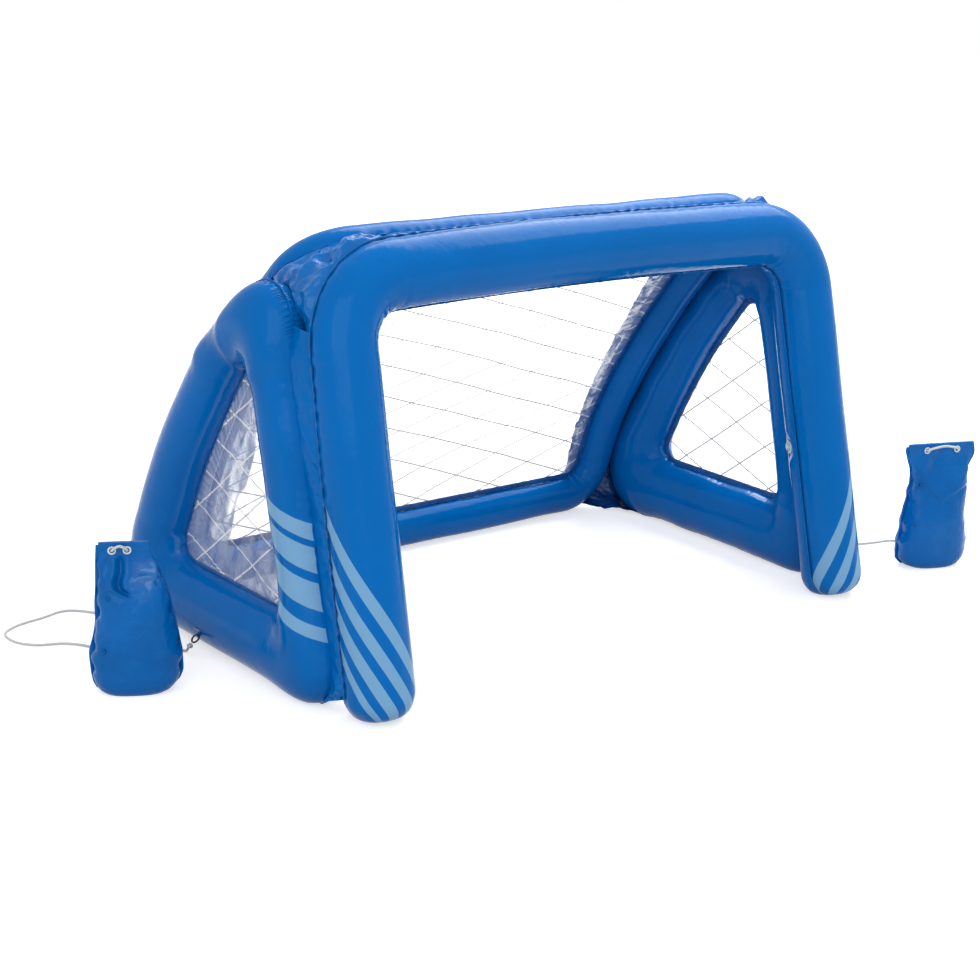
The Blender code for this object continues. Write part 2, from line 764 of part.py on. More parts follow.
# Local x, y of a side window plate lie along world Y and Z
SIDE_TURN = Matrix(((0.0, 0.0, 1.0, 0.0), (1.0, 0.0, 0.0, 0.0), (0.0, 1.0, 0.0, 0.0), (0.0, 0.0, 0.0, 1.0)))


def side_plate(name, sign, outline, thickness):
    matrix = Matrix.Translation((sign * SIDE_PLANE, 0.0, 0.0)) @ SIDE_TURN
    return plate(name, outline, thickness, matrix)


def side_rim(name, sign):
    outer = window_outline(-RIM_WIDTH + GAP)
    return side_plate(name, sign, [outer, window_outline(0.0)], RIM_THICKNESS)


def side_window(name, sign):
    return side_plate(name, sign, window_outline(GAP), FILM_THICKNESS)


def tree_of(obj):
    work = bmesh.new()
    work.from_mesh(obj.data)
    found = BVHTree.FromBMesh(work)
    work.free()
    return found


def between(first, second, seed, along):
    # Nearest points of two chambers in the plane through a seed
    here = Vector(seed)
    for _ in range(NEAREST_ROUNDS):
        there = second.find_nearest(here)[0]
        there = there - along * (there - seed).dot(along)
        here = first.find_nearest(there)[0]
        here = here - along * (here - seed).dot(along)
    return here, there


def pairs_between(first, second, seeds):
    seeds = [Vector(seed) for seed in seeds]
    trees = (tree_of(first), tree_of(second))
    found = []
    for index, seed in enumerate(seeds):
        along = (seeds[min(index + 1, len(seeds) - 1)] - seeds[max(index - 1, 0)]).normalized()
        found.append((*between(*trees, seed, along), along))
    return found


def web_between(name, first, second, seeds):
    # A welded strip pinched in the crease between two chambers
    sections = []
    for here, there, along in pairs_between(first, second, seeds):
        gap = (there - here).length
        normal = (there - here).normalized()
        across = along.cross(normal).normalized() * WEB_HALF_WIDTH
        lift = normal * min(max(gap - 2 * WEB_CLEARANCE, WEB_LEAST), WEB_MOST) / 2
        middle = (here + there) / 2
        sections.append([middle + across + lift, middle - across + lift,
                         middle - across - lift, middle + across - lift])
    return loft(name, sections)


def fill_between(name, first, second, seeds, clearance=GUSSET_CLEARANCE):
    # A gusset sheet that spans the gap between two chambers
    sections = []
    for here, there, along in pairs_between(first, second, seeds):
        normal = (there - here).normalized()
        face = along.cross(normal).normalized() * GUSSET_THICKNESS / 2
        start = here + normal * clearance
        end = there - normal * clearance
        sections.append([start + face, end + face, end - face, start - face])
    return loft(name, sections)


def lerp_seeds(start, end, count):
    return [Vector(start).lerp(Vector(end), step / (count - 1)) for step in range(count)]


def top_web(arch, back):
    reach = BACK_HALF_SPAN - BACK_BEND
    setback = (ARCH_BAR_SETBACK + BACK_TOP_SETBACK) / 2
    height = (ARCH_BAR_HEIGHT + BACK_TOP_HEIGHT) / 2
    seeds = lerp_seeds((-reach, setback, height), (reach, setback, height), TOP_WEB_POINTS)
    return web_between("top_web", arch, back, seeds)


def crease(sign, height):
    return Vector((sign * (ARCH_HALF_SPAN + SIDE_PLANE) / 2, front_edge(height), height))


def front_web(name, arch, side, sign):
    seeds = [crease(sign, SIDE_TOP_HEIGHT * share) for share in FRONT_WEB_SHARES]
    return web_between(name, arch, side, seeds)


def front_gusset(name, arch, side, sign):
    high = crease(sign, SIDE_TOP_HEIGHT * FRONT_GUSSET_SHARE)
    low = crease(sign, GUSSET_HEIGHT)
    return fill_between(name, arch, side, lerp_seeds(low, high, GUSSET_POINTS))


def shoulder_gusset(name, arch, side, sign):
    seeds = [crease(sign, SIDE_TOP_HEIGHT * share) for share in SHOULDER_SHARES]
    return fill_between(name, arch, side, seeds)


def rear_web(name, back, side, sign):
    seeds = []
    first, last = REAR_WEB_SHARES
    for step in range(REAR_WEB_POINTS):
        share = first + (last - first) * step / (REAR_WEB_POINTS - 1)
        seeds.append(on_back(sign * (BACK_HALF_SPAN + SIDE_PLANE) / 2, PROFILE_LENGTH * share))
    return web_between(name, back, side, seeds)


def floor_gusset(name, back, side, sign):
    # Closes the corner where the back's rounded corner leaves the side frame
    high = on_back(sign * (BACK_HALF_SPAN + SIDE_PLANE) / 2, PROFILE_LENGTH * FLOOR_GUSSET_SHARE)
    outward, inward = FLOOR_GUSSET_FOOT_SHARES
    across = sign * (BACK_HALF_SPAN + BACK_RADIUS * outward)
    low = Vector((across, high.y - BACK_RADIUS * inward, GUSSET_HEIGHT))
    return fill_between(name, back, side, lerp_seeds(high, low, GUSSET_POINTS), FLOOR_GUSSET_CLEARANCE)


def corner_web(name, sign):
    # Draped over the rounded corners of the arch and the back
    sections = []
    for step in range(CORNER_WEB_STEPS + 1):
        turn = CORNER_WEB_TURN * step / CORNER_WEB_STEPS
        x = -(ARCH_HALF_SPAN - ARCH_BEND + ARCH_BEND * math.sin(turn))
        rise = ARCH_RISE - ARCH_BEND + ARCH_BEND * math.cos(turn)
        arch = ARCH_UP * (rise + arch_bow(x, rise))
        arch.x = x
        back = on_back(-(BACK_HALF_SPAN - BACK_BEND + BACK_BEND * math.sin(turn)),
                       BACK_BEND * (1 - math.cos(turn)))
        along = (back - arch).normalized()
        upward = Vector((-math.sin(turn), 0.0, math.cos(turn)))
        upward = (upward - along * upward.dot(along)).normalized()
        tilt = math.asin((ARCH_RADIUS - BACK_RADIUS) / (back - arch).length)
        out = upward * math.cos(tilt) + along * math.sin(tilt)
        low = [centre + out * (radius + CORNER_WEB_CLEARANCE)
               for centre, radius in ((arch, ARCH_RADIUS), (back, BACK_RADIUS))]
        high = [point + out * CORNER_WEB_THICKNESS for point in reversed(low)]
        sections.append([Vector((-sign * point.x, point.y, point.z)) for point in low + high])
    return loft(name, sections)


def frame_at(point, normal, toward):
    # A frame whose Z is the surface normal and whose X leans toward a direction
    up = Vector(normal).normalized()
    side = Vector(toward)
    side = (side - up * side.dot(up)).normalized()
    other = up.cross(side)
    matrix = Matrix((side, other, up)).transposed().to_4x4()
    return Matrix.Translation(point) @ matrix


def surface_frame(obj, start, direction, toward):
    point, normal, _, _ = tree_of(obj).ray_cast(Vector(start), Vector(direction).normalized())
    return frame_at(point, normal, toward)


def set_origin(obj, point):
    obj.data.transform(Matrix.Translation(-point))
    obj.matrix_world = Matrix.Translation(point)


FLANGE_TOP = GAP + FLANGE_THICKNESS
LIP_TOP = FLANGE_TOP + GAP + STEM_LIP_THICKNESS
STRAP_HEIGHT = LIP_TOP + GAP + PLUG_HEAD_THICKNESS / 2


def valve(name, chamber, frame):
    # A soft push-in valve: welded flange, sliding stem, plug on a strap
    seat = frame @ Matrix.Translation((0.0, 0.0, -SEAT_DEPTH))
    well = STEM_RADIUS + WELL_CLEARANCE
    hole = FLANGE_RADIUS + GAP
    cut(chamber, cylinder(name + "_seat_cut", hole, 0.0, SEAT_DEPTH + OVERRUN, seat, 2 * RING_SIDES))
    cut(chamber, cylinder(name + "_well_cut", well, -STEM_LENGTH, OVERRUN, seat, TUBE_SIDES))
    keep(chamber, BLUE_VINYL)
    flange = [(FLANGE_RADIUS, FLANGE_TOP * FLANGE_EDGE_SHARE), (FLANGE_RADIUS, GAP), (well, GAP),
              (well, FLANGE_TOP), (FLANGE_RADIUS * FLANGE_TOP_SHARE, FLANGE_TOP)]
    keep(turned(name + "_flange", flange, seat, TUBE_SIDES), VALVE_CLEAR, 0.2)
    low = LIP_TOP - STEM_LENGTH
    stem = [(STEM_LIP_RADIUS, LIP_TOP), (STEM_LIP_RADIUS, LIP_TOP - STEM_LIP_THICKNESS),
            (STEM_RADIUS, LIP_TOP - STEM_LIP_THICKNESS), (STEM_RADIUS, low), (STEM_BORE, low),
            (STEM_BORE, LIP_TOP)]
    body = turned(name + "_stem", stem, seat, TUBE_SIDES)
    lug = box(name + "_lug", (STEM_BORE + GAP, -STRAP_WIDTH / 2, LIP_TOP - STEM_LIP_THICKNESS),
              (STRAP_LENGTH + GAP, STRAP_WIDTH / 2, LIP_TOP))
    lug.data.transform(seat)
    cut(body, lug, "UNION")
    keep(body, VALVE_CLEAR, 0.2)
    set_origin(body, seat.translation)
    under = LIP_TOP + GAP
    head = [(PLUG_HEAD_RADIUS, under + PLUG_HEAD_THICKNESS), (PLUG_HEAD_RADIUS, under),
            (PLUG_PIN_RADIUS, under), (PLUG_PIN_RADIUS * PIN_TIP_SHARE, under - PLUG_PIN_LENGTH),
            (0.0, under - PLUG_PIN_LENGTH), (0.0, under + PLUG_HEAD_THICKNESS)]
    plug = turned(name + "_plug", head, seat, TUBE_SIDES)
    strap = box(name + "_strap", (PLUG_HEAD_RADIUS * STRAP_ROOT_SHARE, -STRAP_WIDTH / 2, under),
                (STRAP_LENGTH, STRAP_WIDTH / 2, under + PLUG_HEAD_THICKNESS))
    strap.data.transform(seat)
    cut(plug, strap, "UNION")
    keep(plug, VALVE_CLEAR, 0.2)
    set_origin(plug, seat @ Vector((STRAP_LENGTH, 0.0, STRAP_HEIGHT)))


def tether_eye(name, side, sign):
    # A welded patch with a lug that holds a black ring
    start = (sign * 2 * SIDE_PLANE, BACK_FOOT_SETBACK - EYE_BEFORE_FOOT, EYE_HEIGHT)
    frame = surface_frame(side, start, (-sign, 0.0, 0.0), (0.0, 1.0, 0.0))
    half_width = TAB_WIDTH / 2
    half_height = TAB_HEIGHT / 2
    pocket = box(name + "_pocket", (-half_width - GAP, -half_height - GAP, -TAB_THICKNESS),
                 (half_width + GAP, half_height + GAP, OVERRUN))
    pocket.data.transform(frame)
    cut(side, pocket)
    keep(side, BLUE_VINYL)
    tab = box(name + "_tab", (-half_width, -half_height, -TAB_THICKNESS + GAP), (half_width, half_height, 0.0))
    modifier(tab, "BEVEL", width=TAB_THICKNESS / 4, segments=1, limit_method="ANGLE")
    apply_modifiers(tab)
    lug_half = LUG_THICKNESS / 2
    lug = box(name + "_lug", (-lug_half, -LUG_WIDTH / 2, -TAB_THICKNESS / 2),
              (lug_half, LUG_WIDTH / 2, LUG_REACH))
    cut(tab, lug, "UNION")
    across = Matrix.Rotation(math.pi / 2, 4, "Y")
    eye = LUG_REACH - LUG_WIDTH / 2
    bore = cylinder(name + "_bore", RING_WIRE + LUG_CLEARANCE, -LUG_WIDTH, LUG_WIDTH,
                    Matrix.Translation((0.0, 0.0, eye)) @ across, TUBE_SIDES)
    cut(tab, bore)
    tab.data.transform(frame)
    keep(tab, BLUE_VINYL)
    # The ring hangs from the lug's bore, its wire along the bore there
    down = Vector((0.0, 0.0, -1.0))
    hole = frame @ Vector((0.0, 0.0, eye))
    along = frame.to_3x3() @ Vector((1.0, 0.0, 0.0))
    hang = (down * RING_SAG_SHARE + frame.to_3x3() @ Vector((0.0, 0.0, 1.0))).normalized()
    hang = (hang - along * hang.dot(along)).normalized()
    centre = hole + hang * RING_RADIUS
    turn = Matrix((along, hang, along.cross(hang))).transposed().to_4x4()
    bpy.ops.mesh.primitive_torus_add(major_segments=TUBE_SIDES, minor_segments=RING_SIDES // 2,
                                     major_radius=RING_RADIUS, minor_radius=RING_WIRE)
    ring = bpy.context.active_object
    ring.name = name + "_ring"
    ring.data.transform(Matrix.Translation(centre) @ turn)
    keep(ring, BLACK_PLASTIC, 0.4)
    knot = centre + hang * (RING_RADIUS + RING_WIRE + GAP + KNOT_RADIUS)
    bpy.ops.mesh.primitive_uv_sphere_add(segments=SMALL_SIDES, ring_count=SPHERE_RINGS, radius=KNOT_RADIUS)
    ball = bpy.context.active_object
    ball.name = name.replace("_eye", "_knot")
    ball.data.transform(Matrix.Translation(knot))
    keep(ball, WHITE_CORD, 0.8)
    return knot


def bag(name, place, turn, top_half_width, shift):
    # A round-bottomed sack gathered to a flat hem
    sections = []
    for height, wide, deep, gather in BAG_LEVEL_SHARES:
        half_width = (BAG_HALF_WIDTH * (1 - gather) + top_half_width * gather) * wide
        half_depth = BAG_HEM_HALF_THICKNESS + (BAG_HALF_DEPTH - BAG_HEM_HALF_THICKNESS) * deep
        section = []
        for side in range(BAG_SIDES):
            angle = 2 * math.pi * side / BAG_SIDES
            # A squarer oval towards the hem
            power = BAG_FULLNESS_SHARES[0] - BAG_FULLNESS_SHARES[1] * gather
            across = math.copysign(abs(math.cos(angle)) ** power, math.cos(angle)) * half_width
            behind = math.copysign(abs(math.sin(angle)) ** power, math.sin(angle)) * half_depth
            section.append(Vector((across + shift * gather, behind, BAG_HEIGHT * height)))
        sections.append(section)
    obj = loft(name, sections)
    matrix = Matrix.Translation((*place, 0.0)) @ Matrix.Rotation(turn, 4, "Z")
    obj.data.transform(matrix)
    return obj, matrix


def eyelet(name, bag_obj, matrix, across):
    # A turned grommet through the hem
    centre = Matrix.Translation((across, 0.0, BAG_HEIGHT - EYELET_DROP)) @ Matrix.Rotation(math.pi / 2, 4, "X")
    frame = matrix @ centre
    reach = BAG_HEM_HALF_THICKNESS + EYELET_PROUD
    neck = EYELET_BORE + EYELET_WALL
    cut(bag_obj, cylinder(name + "_cut", neck + GAP, -OVERRUN, OVERRUN, frame, TUBE_SIDES))
    lip = BAG_HEM_HALF_THICKNESS + GAP
    profile = [(EYELET_RADIUS, reach), (EYELET_RADIUS, lip), (neck, lip), (neck, -lip), (EYELET_RADIUS, -lip),
               (EYELET_RADIUS, -reach), (EYELET_BORE, -reach), (EYELET_BORE, reach)]
    keep(turned(name, profile, frame, SMALL_SIDES), WHITE_PLASTIC, 0.4)


def cord(name, points):
    length = sum((Vector(end) - Vector(start)).length for start, end in zip(points, points[1:]))
    count = min(MOST_CORD_POINTS, max(CORD_SIDES, round(length / CORD_STEP)))
    route = smooth_curve(points, count)
    return keep(tube(name, route, CORD_RADIUS, CORD_SIDES), WHITE_CORD, 0.8)


def anchor(side_name, side, sign, place, turn, top_half_width, shift, reach, floor):
    # A bag on its tether: ring, knot, cord along the floor and up behind the bag, bight and eyelets
    knot = tether_eye(side_name + "_eye", side, sign)
    sack, matrix = bag(side_name + "_bag", place, turn, top_half_width, shift)
    eyelet(side_name + "_eyelet_outer", sack, matrix, shift - reach)
    eyelet(side_name + "_eyelet_inner", sack, matrix, shift + reach)
    keep(sack, BLUE_VINYL)
    behind = BAG_HEM_HALF_THICKNESS + EYELET_PROUD + CORD_RADIUS
    height = BAG_HEIGHT - EYELET_DROP + (EYELET_BORE - CORD_RADIUS) / 4
    ends = [matrix @ Vector((across, behind, height)) for across in (shift - reach, shift + reach)]
    front = [matrix @ Vector((shift + reach * share, -behind * deep, height + LOOP_RISE * up))
             for share, deep, up in BIGHT_SHARES]
    cord(side_name + "_bight", [ends[0]] + front + [ends[1]])
    route = [Vector((knot.x + sign * outward, knot.y + back, rise)) for outward, back, rise in floor]
    route += [matrix @ Vector((shift + reach, back, rise)) for back, rise in CORD_UP_BAG]
    start = knot + (route[0] - knot).normalized() * (KNOT_RADIUS + GAP)
    outward = (ends[1] - front[-1]).normalized()
    finish = ends[1] + outward * GAP
    cord(side_name + "_cord", [start] + route + [finish + outward * CORD_STEP, finish])
    for name in ("_bag", "_eyelet_outer", "_eyelet_inner", "_bight", "_cord", "_knot"):
        set_origin(bpy.data.objects[side_name + name], Vector((knot.x, knot.y, 0.0)))


arch = keep(front_arch(), BLUE_VINYL)
back = keep(back_frame(), BLUE_VINYL)
left = keep(side_frame("left_side_frame", -1), BLUE_VINYL)
right = keep(side_frame("right_side_frame", 1), BLUE_VINYL)
keep(back_rim(), DARK_VINYL)
keep(back_window(), CLEAR_FILM, 0.1, 0.3)
keep(top_web(arch, back), DARK_VINYL)
for side_name, side, sign in (("left", left, -1), ("right", right, 1)):
    keep(side_rim(side_name + "_window_rim", sign), DARK_VINYL)
    keep(side_window(side_name + "_window", sign), CLEAR_FILM, 0.1, 0.3)
    keep(front_web(side_name + "_front_web", arch, side, sign), DARK_VINYL)
    keep(rear_web(side_name + "_rear_web", back, side, sign), DARK_VINYL)
    keep(front_gusset(side_name + "_front_gusset", arch, side, sign), DARK_VINYL)
    keep(shoulder_gusset(side_name + "_shoulder_gusset", arch, side, sign), DARK_VINYL)
    keep(floor_gusset(side_name + "_floor_gusset", back, side, sign), DARK_VINYL)
    keep(corner_web(side_name + "_corner_web", sign), BLUE_VINYL)

valve("arch_valve", arch, surface_frame(arch, (0.0, ARCH_HALF_SPAN + VALVE_HEIGHT * LEAN, VALVE_HEIGHT),
                                        (1.0, -1.0, 0.0), (0.0, 0.0, 1.0)))
valve("back_valve", back, surface_frame(back, (BACK_VALVE_OFFSET, 2 * BACK_FOOT_SETBACK, BACK_RADIUS),
                                        (0.0, -1.0, 0.0), (1.0, 0.0, 0.0)))
for side_name, side, sign in (("left", left, -1), ("right", right, 1)):
    start = (sign * 2 * SIDE_PLANE, BACK_FOOT_SETBACK - SIDE_VALVE_BEFORE_FOOT, SIDE_VALVE_HEIGHT)
    valve(side_name + "_valve", side, surface_frame(side, start, (-sign, 0.0, 0.0), (0.0, -1.0, 0.0)))

LEFT_BAG_PLACE = (-SIDE_PLANE - LEFT_BAG_OUTSIDE, LEFT_BAG_BEHIND)
RIGHT_BAG_PLACE = (SIDE_PLANE + RIGHT_BAG_OUTSIDE, RIGHT_BAG_BEHIND)
anchor("left", left, -1, LEFT_BAG_PLACE, LEFT_BAG_TURN, LEFT_BAG_TOP_HALF_WIDTH, LEFT_BAG_SHIFT,
       LEFT_EYELET_REACH, LEFT_CORD_FLOOR)
anchor("right", right, 1, RIGHT_BAG_PLACE, RIGHT_BAG_TURN, RIGHT_BAG_TOP_HALF_WIDTH, RIGHT_BAG_SHIFT,
       RIGHT_EYELET_REACH, RIGHT_CORD_FLOOR)


def centre_on_floor():
    # The origin lies on the floor under the middle of the goal and its bags
    bpy.context.view_layer.update()
    points = [obj.matrix_world @ vertex.co for obj in COLLECTION.objects if not obj.name.endswith("_cord")
              for vertex in obj.data.vertices]
    across = [point.x for point in points]
    behind = [point.y for point in points]
    middle = Vector(((max(across) + min(across)) / 2, (max(behind) + min(behind)) / 2, 0.0))
    for obj in list(COLLECTION.objects) + list(CUTTERS.objects):
        obj.location -= middle


centre_on_floor()
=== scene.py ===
import math

import bpy
import numpy as np
from mathutils import Matrix, Vector
from mathutils.bvhtree import BVHTree


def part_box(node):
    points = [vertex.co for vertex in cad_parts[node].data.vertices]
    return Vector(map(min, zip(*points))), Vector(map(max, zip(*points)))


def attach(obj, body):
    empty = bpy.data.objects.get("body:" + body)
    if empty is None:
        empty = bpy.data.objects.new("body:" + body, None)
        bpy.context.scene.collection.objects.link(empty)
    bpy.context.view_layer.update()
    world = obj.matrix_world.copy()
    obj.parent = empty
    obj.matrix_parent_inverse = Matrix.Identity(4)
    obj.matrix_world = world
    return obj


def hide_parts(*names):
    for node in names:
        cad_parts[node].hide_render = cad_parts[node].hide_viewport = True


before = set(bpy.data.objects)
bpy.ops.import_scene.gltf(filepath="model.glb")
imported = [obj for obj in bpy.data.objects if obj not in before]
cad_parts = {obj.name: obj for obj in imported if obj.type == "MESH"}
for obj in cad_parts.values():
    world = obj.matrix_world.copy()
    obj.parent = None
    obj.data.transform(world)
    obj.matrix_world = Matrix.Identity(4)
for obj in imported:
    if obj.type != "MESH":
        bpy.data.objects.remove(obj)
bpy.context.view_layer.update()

MIDDLE = np.array((0.019702, 0.366715, 0.0))
FLOOR = 0.0003

# Camera of the photograph
CAMERA_AT = Vector((-2.46543, -2.86308, 1.38540))
CAMERA_AZIMUTH = 0.6944
CAMERA_DOWN = 0.2993
CAMERA_ROLL = 0.0436
CAMERA_LENS = 71.42

# The same main sizes as the CAD's
ARCH_RADIUS = 0.063
ARCH_HALF_SPAN = 0.574
ARCH_SPLAY = 0.012
ARCH_BAR_HEIGHT = 0.737
ARCH_BAR_SETBACK = 0.185
ARCH_BEND = 0.118
ARCH_BOW = 0.012
ARCH_FOOT_ROUND = 0.045
SIDE_PLANE = 0.637
SIDE_TOP_HEIGHT = 0.735
SIDE_TOP_SETBACK = 0.300
SIDE_THICKNESS = 0.122
SIDE_CORNER = 0.040
WINDOW_SILL = 0.150
WINDOW_FRONT = 0.212
WINDOW_REAR = 0.580
WINDOW_PEAK = 0.585
WINDOW_PEAK_SETBACK = 0.325
WINDOW_CORNER = 0.022
WINDOW_REAR_SWELL = 0.020
RIM_WIDTH = 0.011
BACK_RADIUS = 0.042
BACK_HALF_SPAN = 0.546
BACK_BEND = 0.088
BACK_TOP_HEIGHT = 0.768
BACK_TOP_SETBACK = 0.2945
BACK_FOOT_SETBACK = 0.7400
FLAT = 0.0008
WEB_GAP = 0.0040


def camera():
    azimuth, down = CAMERA_AZIMUTH, CAMERA_DOWN
    level = math.cos(down)
    forward = Vector((math.sin(azimuth) * level, math.cos(azimuth) * level, -math.sin(down)))
    side = forward.cross(Vector((0, 0, 1))).normalized()
    up = side.cross(forward)
    turned = math.cos(CAMERA_ROLL) * side + math.sin(CAMERA_ROLL) * up
    above = math.cos(CAMERA_ROLL) * up - math.sin(CAMERA_ROLL) * side
    data = bpy.data.cameras.new("camera")
    data.lens = CAMERA_LENS
    data.sensor_width = 36.0
    data.clip_end = 60.0
    made = bpy.data.objects.new("camera", data)
    bpy.context.scene.collection.objects.link(made)
    matrix = Matrix((turned, above, -forward)).transposed().to_4x4()
    made.matrix_world = Matrix.Translation(CAMERA_AT) @ matrix
    bpy.context.scene.camera = made


camera()


# Points, curves and noise

def unit(vectors):
    vectors = np.asarray(vectors, float)
    return vectors / np.maximum(np.linalg.norm(vectors, axis=-1, keepdims=True), 1e-12)


def distances(points):
    # How far along its line each point lies
    return np.concatenate([[0.0], np.cumsum(np.linalg.norm(np.diff(points, axis=0), axis=1))])


def looped(points, closed):
    points = np.asarray(points, float)
    return np.vstack([points, points[:1]]) if closed else points


def even(points, count, closed=False):
    # The same line with count points at even distances
    points = looped(points, closed)
    along = distances(points)
    goal = np.linspace(0.0, along[-1], count, endpoint=not closed)
    return np.stack([np.interp(goal, along, points[:, axis]) for axis in range(points.shape[1])], 1)


def length_of(points, closed=False):
    return float(np.linalg.norm(np.diff(looped(points, closed), axis=0), axis=1).sum())


def even_run(points, closed=True):
    # Distances along a line whose points lie evenly
    return np.arange(len(points)) * length_of(points, closed) / len(points)


def smooth(points, count, closed=False):
    # Catmull-Rom curve through points, sampled at even distances
    points = np.asarray(points, float)
    if closed:
        padded = np.vstack([points[-1:], points, points[:2]])
    else:
        padded = np.vstack([2 * points[0] - points[1], points, 2 * points[-1] - points[-2]])
    fine = []
    for index in range(1, len(padded) - 2):
        before, start, end, after = padded[index - 1:index + 3]
        at = np.linspace(0, 1, 24, endpoint=False)[:, None]
        fine.append(0.5 * (2 * start + (end - before) * at
                           + (2 * before - 5 * start + 4 * end - after) * at ** 2
                           + (3 * start - before - 3 * end + after) * at ** 3))
    fine.append(padded[-2:-1])
    fine = np.vstack(fine)
    return even(fine[:-1] if closed else fine, count, closed)


def rounded(corners, radii, steps, closed=False):
    # Straight runs joined by arcs
    corners = [np.asarray(corner, float) for corner in corners]
    found = []
    total = len(corners)
    for index, corner in enumerate(corners):
        if not closed and index in (0, total - 1):
            found.append(corner)
            continue
        before = unit(corners[index - 1] - corner)
        after = unit(corners[(index + 1) % total] - corner)
        half = math.acos(np.clip(before @ after, -1, 1)) / 2
        reach = radii[index] / math.tan(half)
        centre = corner + unit(before + after) * radii[index] / math.sin(half)
        start = corner + before * reach - centre
        sweep = math.pi - 2 * half
        side = unit(before - (before @ start / (start @ start)) * start) * -radii[index]
        for step in range(steps + 1):
            angle = sweep * step / steps
            found.append(centre + start * math.cos(angle) + side * math.sin(angle))
    return np.array(found)


def slopes(points, closed=False):
    # Unit tangents
    if closed:
        return unit(np.roll(points, -1, 0) - np.roll(points, 1, 0))
    return unit(np.gradient(points, axis=0))


def soft(values, width, closed=False):
    # Moving average
    kernel = np.hanning(width + 2)[1:-1]
    kernel /= kernel.sum()
    half = width // 2
    values = np.asarray(values, float)
    if closed:
        padded = np.concatenate([values[-half:], values, values[:half]])
    else:
        padded = np.pad(values, half, "edge")
    return np.convolve(padded, kernel, "same")[half:half + len(values)]


def ease(values, low, high):
    share = np.clip((np.asarray(values, float) - low) / (high - low), 0, 1)
    return share * share * (3 - 2 * share)


def spokes(count):
    # Even angles once round
    return 2 * math.pi * np.arange(count) / count


def circles(angle, first, second):
    # At every point of a line, directions that turn from its first direction to its second
    return np.cos(angle)[None, :, None] * first[:, None] + np.sin(angle)[None, :, None] * second[:, None]


def bend_of(out, width):
    # How sharply a closed line turns, from 0 to 1
    bend = soft(np.abs(np.gradient(np.unwrap(np.arctan2(out[:, 1], out[:, 0])))), width, True)
    return (bend / max(bend.max(), 1e-9)).clip(0, 1)


# The skin lies below a valve's seat as far out as FLANGE_NEAR, and in its own place from FLANGE_FAR
FLANGE_NEAR = 0.017
FLANGE_FAR = 0.034
FLANGE_SEAT = 0.0009
VALVES = {
    "arch": dict(seat=(0.53576, 0.11467, 0.30041), normal=(-0.86274, 0.4866, -0.13749),
                 hinge=(0.53074, 0.1175, 0.31072)),
    "back": dict(seat=(0.3, 0.77855, 0.04145), normal=(0.0, 0.98324, 0.1823),
                 hinge=(0.311, 0.78277, 0.04224)),
    "left": dict(seat=(-0.69268, 0.60003, 0.08453), normal=(-0.98766, -0.01146, 0.15618),
                 hinge=(-0.6968, 0.58899, 0.08518)),
    "right": dict(seat=(0.69268, 0.60003, 0.08453), normal=(0.98766, -0.01146, 0.15618),
                  hinge=(0.6968, 0.58899, 0.08518)),
}


def clear_of_valves(points):
    # The skin lies flat and a little lower under each valve's flange
    for data in VALVES.values():
        normal = np.array(data["normal"])
        offset = points - data["seat"]
        near = 1 - ease(np.linalg.norm(offset, axis=-1), FLANGE_NEAR, FLANGE_FAR)
        above = np.maximum(offset @ normal + FLANGE_SEAT, 0) * near
        points = points - above[..., None] * normal
    return points


def waves(points, scale, seed):
    # Smooth noise of about unit size from plane waves in seeded directions
    dice = np.random.default_rng(seed)
    total = np.zeros(points.shape[:-1])
    count = 9
    for _ in range(count):
        way = unit(dice.normal(size=points.shape[-1]))
        turns = points @ way * (2 * math.pi / (scale * dice.uniform(0.6, 1.7)))
        total += np.sin(turns + dice.uniform(0, 7))
    return total / math.sqrt(count / 2)


def creases(points, scale, seed, count=6):
    # Crumpled-sheet noise from -1 to 1: bent folds with sharp ridges
    warp = np.stack([waves(points, scale * 2.6, seed + 31 * axis) for axis in range(points.shape[-1])], -1)
    bent = points + warp * scale * 0.30
    dice = np.random.default_rng(seed + 7)
    total = np.zeros(points.shape[:-1])
    weight = 0.0
    for _ in range(count):
        way = unit(dice.normal(size=points.shape[-1]))
        size = dice.uniform(0.6, 1.8)
        fold = np.abs(((bent @ way) / (scale * size) + dice.uniform(0, 2)) % 2 - 1) * 2 - 1
        total += fold * size
        weight += size
    return total / weight * 1.8


def ripples(run, size, seed):
    # Irregular ripples along a seam, about unit size
    dice = np.random.default_rng(seed)
    total = np.zeros(np.shape(run))
    for _ in range(6):
        total += np.sin(run * 2 * math.pi / (size * dice.uniform(0.65, 1.6)) + dice.uniform(0, 7))
    return total / 1.9


def puckers(run, size, seed, away, fade, depth):
    # Ripples along a seam that die out away from it
    return ripples(run, size, seed)[:, None] * np.exp(-away / fade) * np.ravel(depth)[:, None]


def groove(away, width):
    # 1 along a line and 0 further from it
    return np.exp(-(away / width) ** 2)


# Meshes

def grid_faces(rows, columns, close_rows=False, close_columns=False, flip=False):
    index = np.arange(rows * columns).reshape(rows, columns)
    if close_rows:
        index = np.vstack([index, index[:1]])
    if close_columns:
        index = np.hstack([index, index[:, :1]])
    quads = np.stack([index[:-1, :-1], index[1:, :-1], index[1:, 1:], index[:-1, 1:]], -1).reshape(-1, 4)
    return quads[:, ::-1] if flip else quads


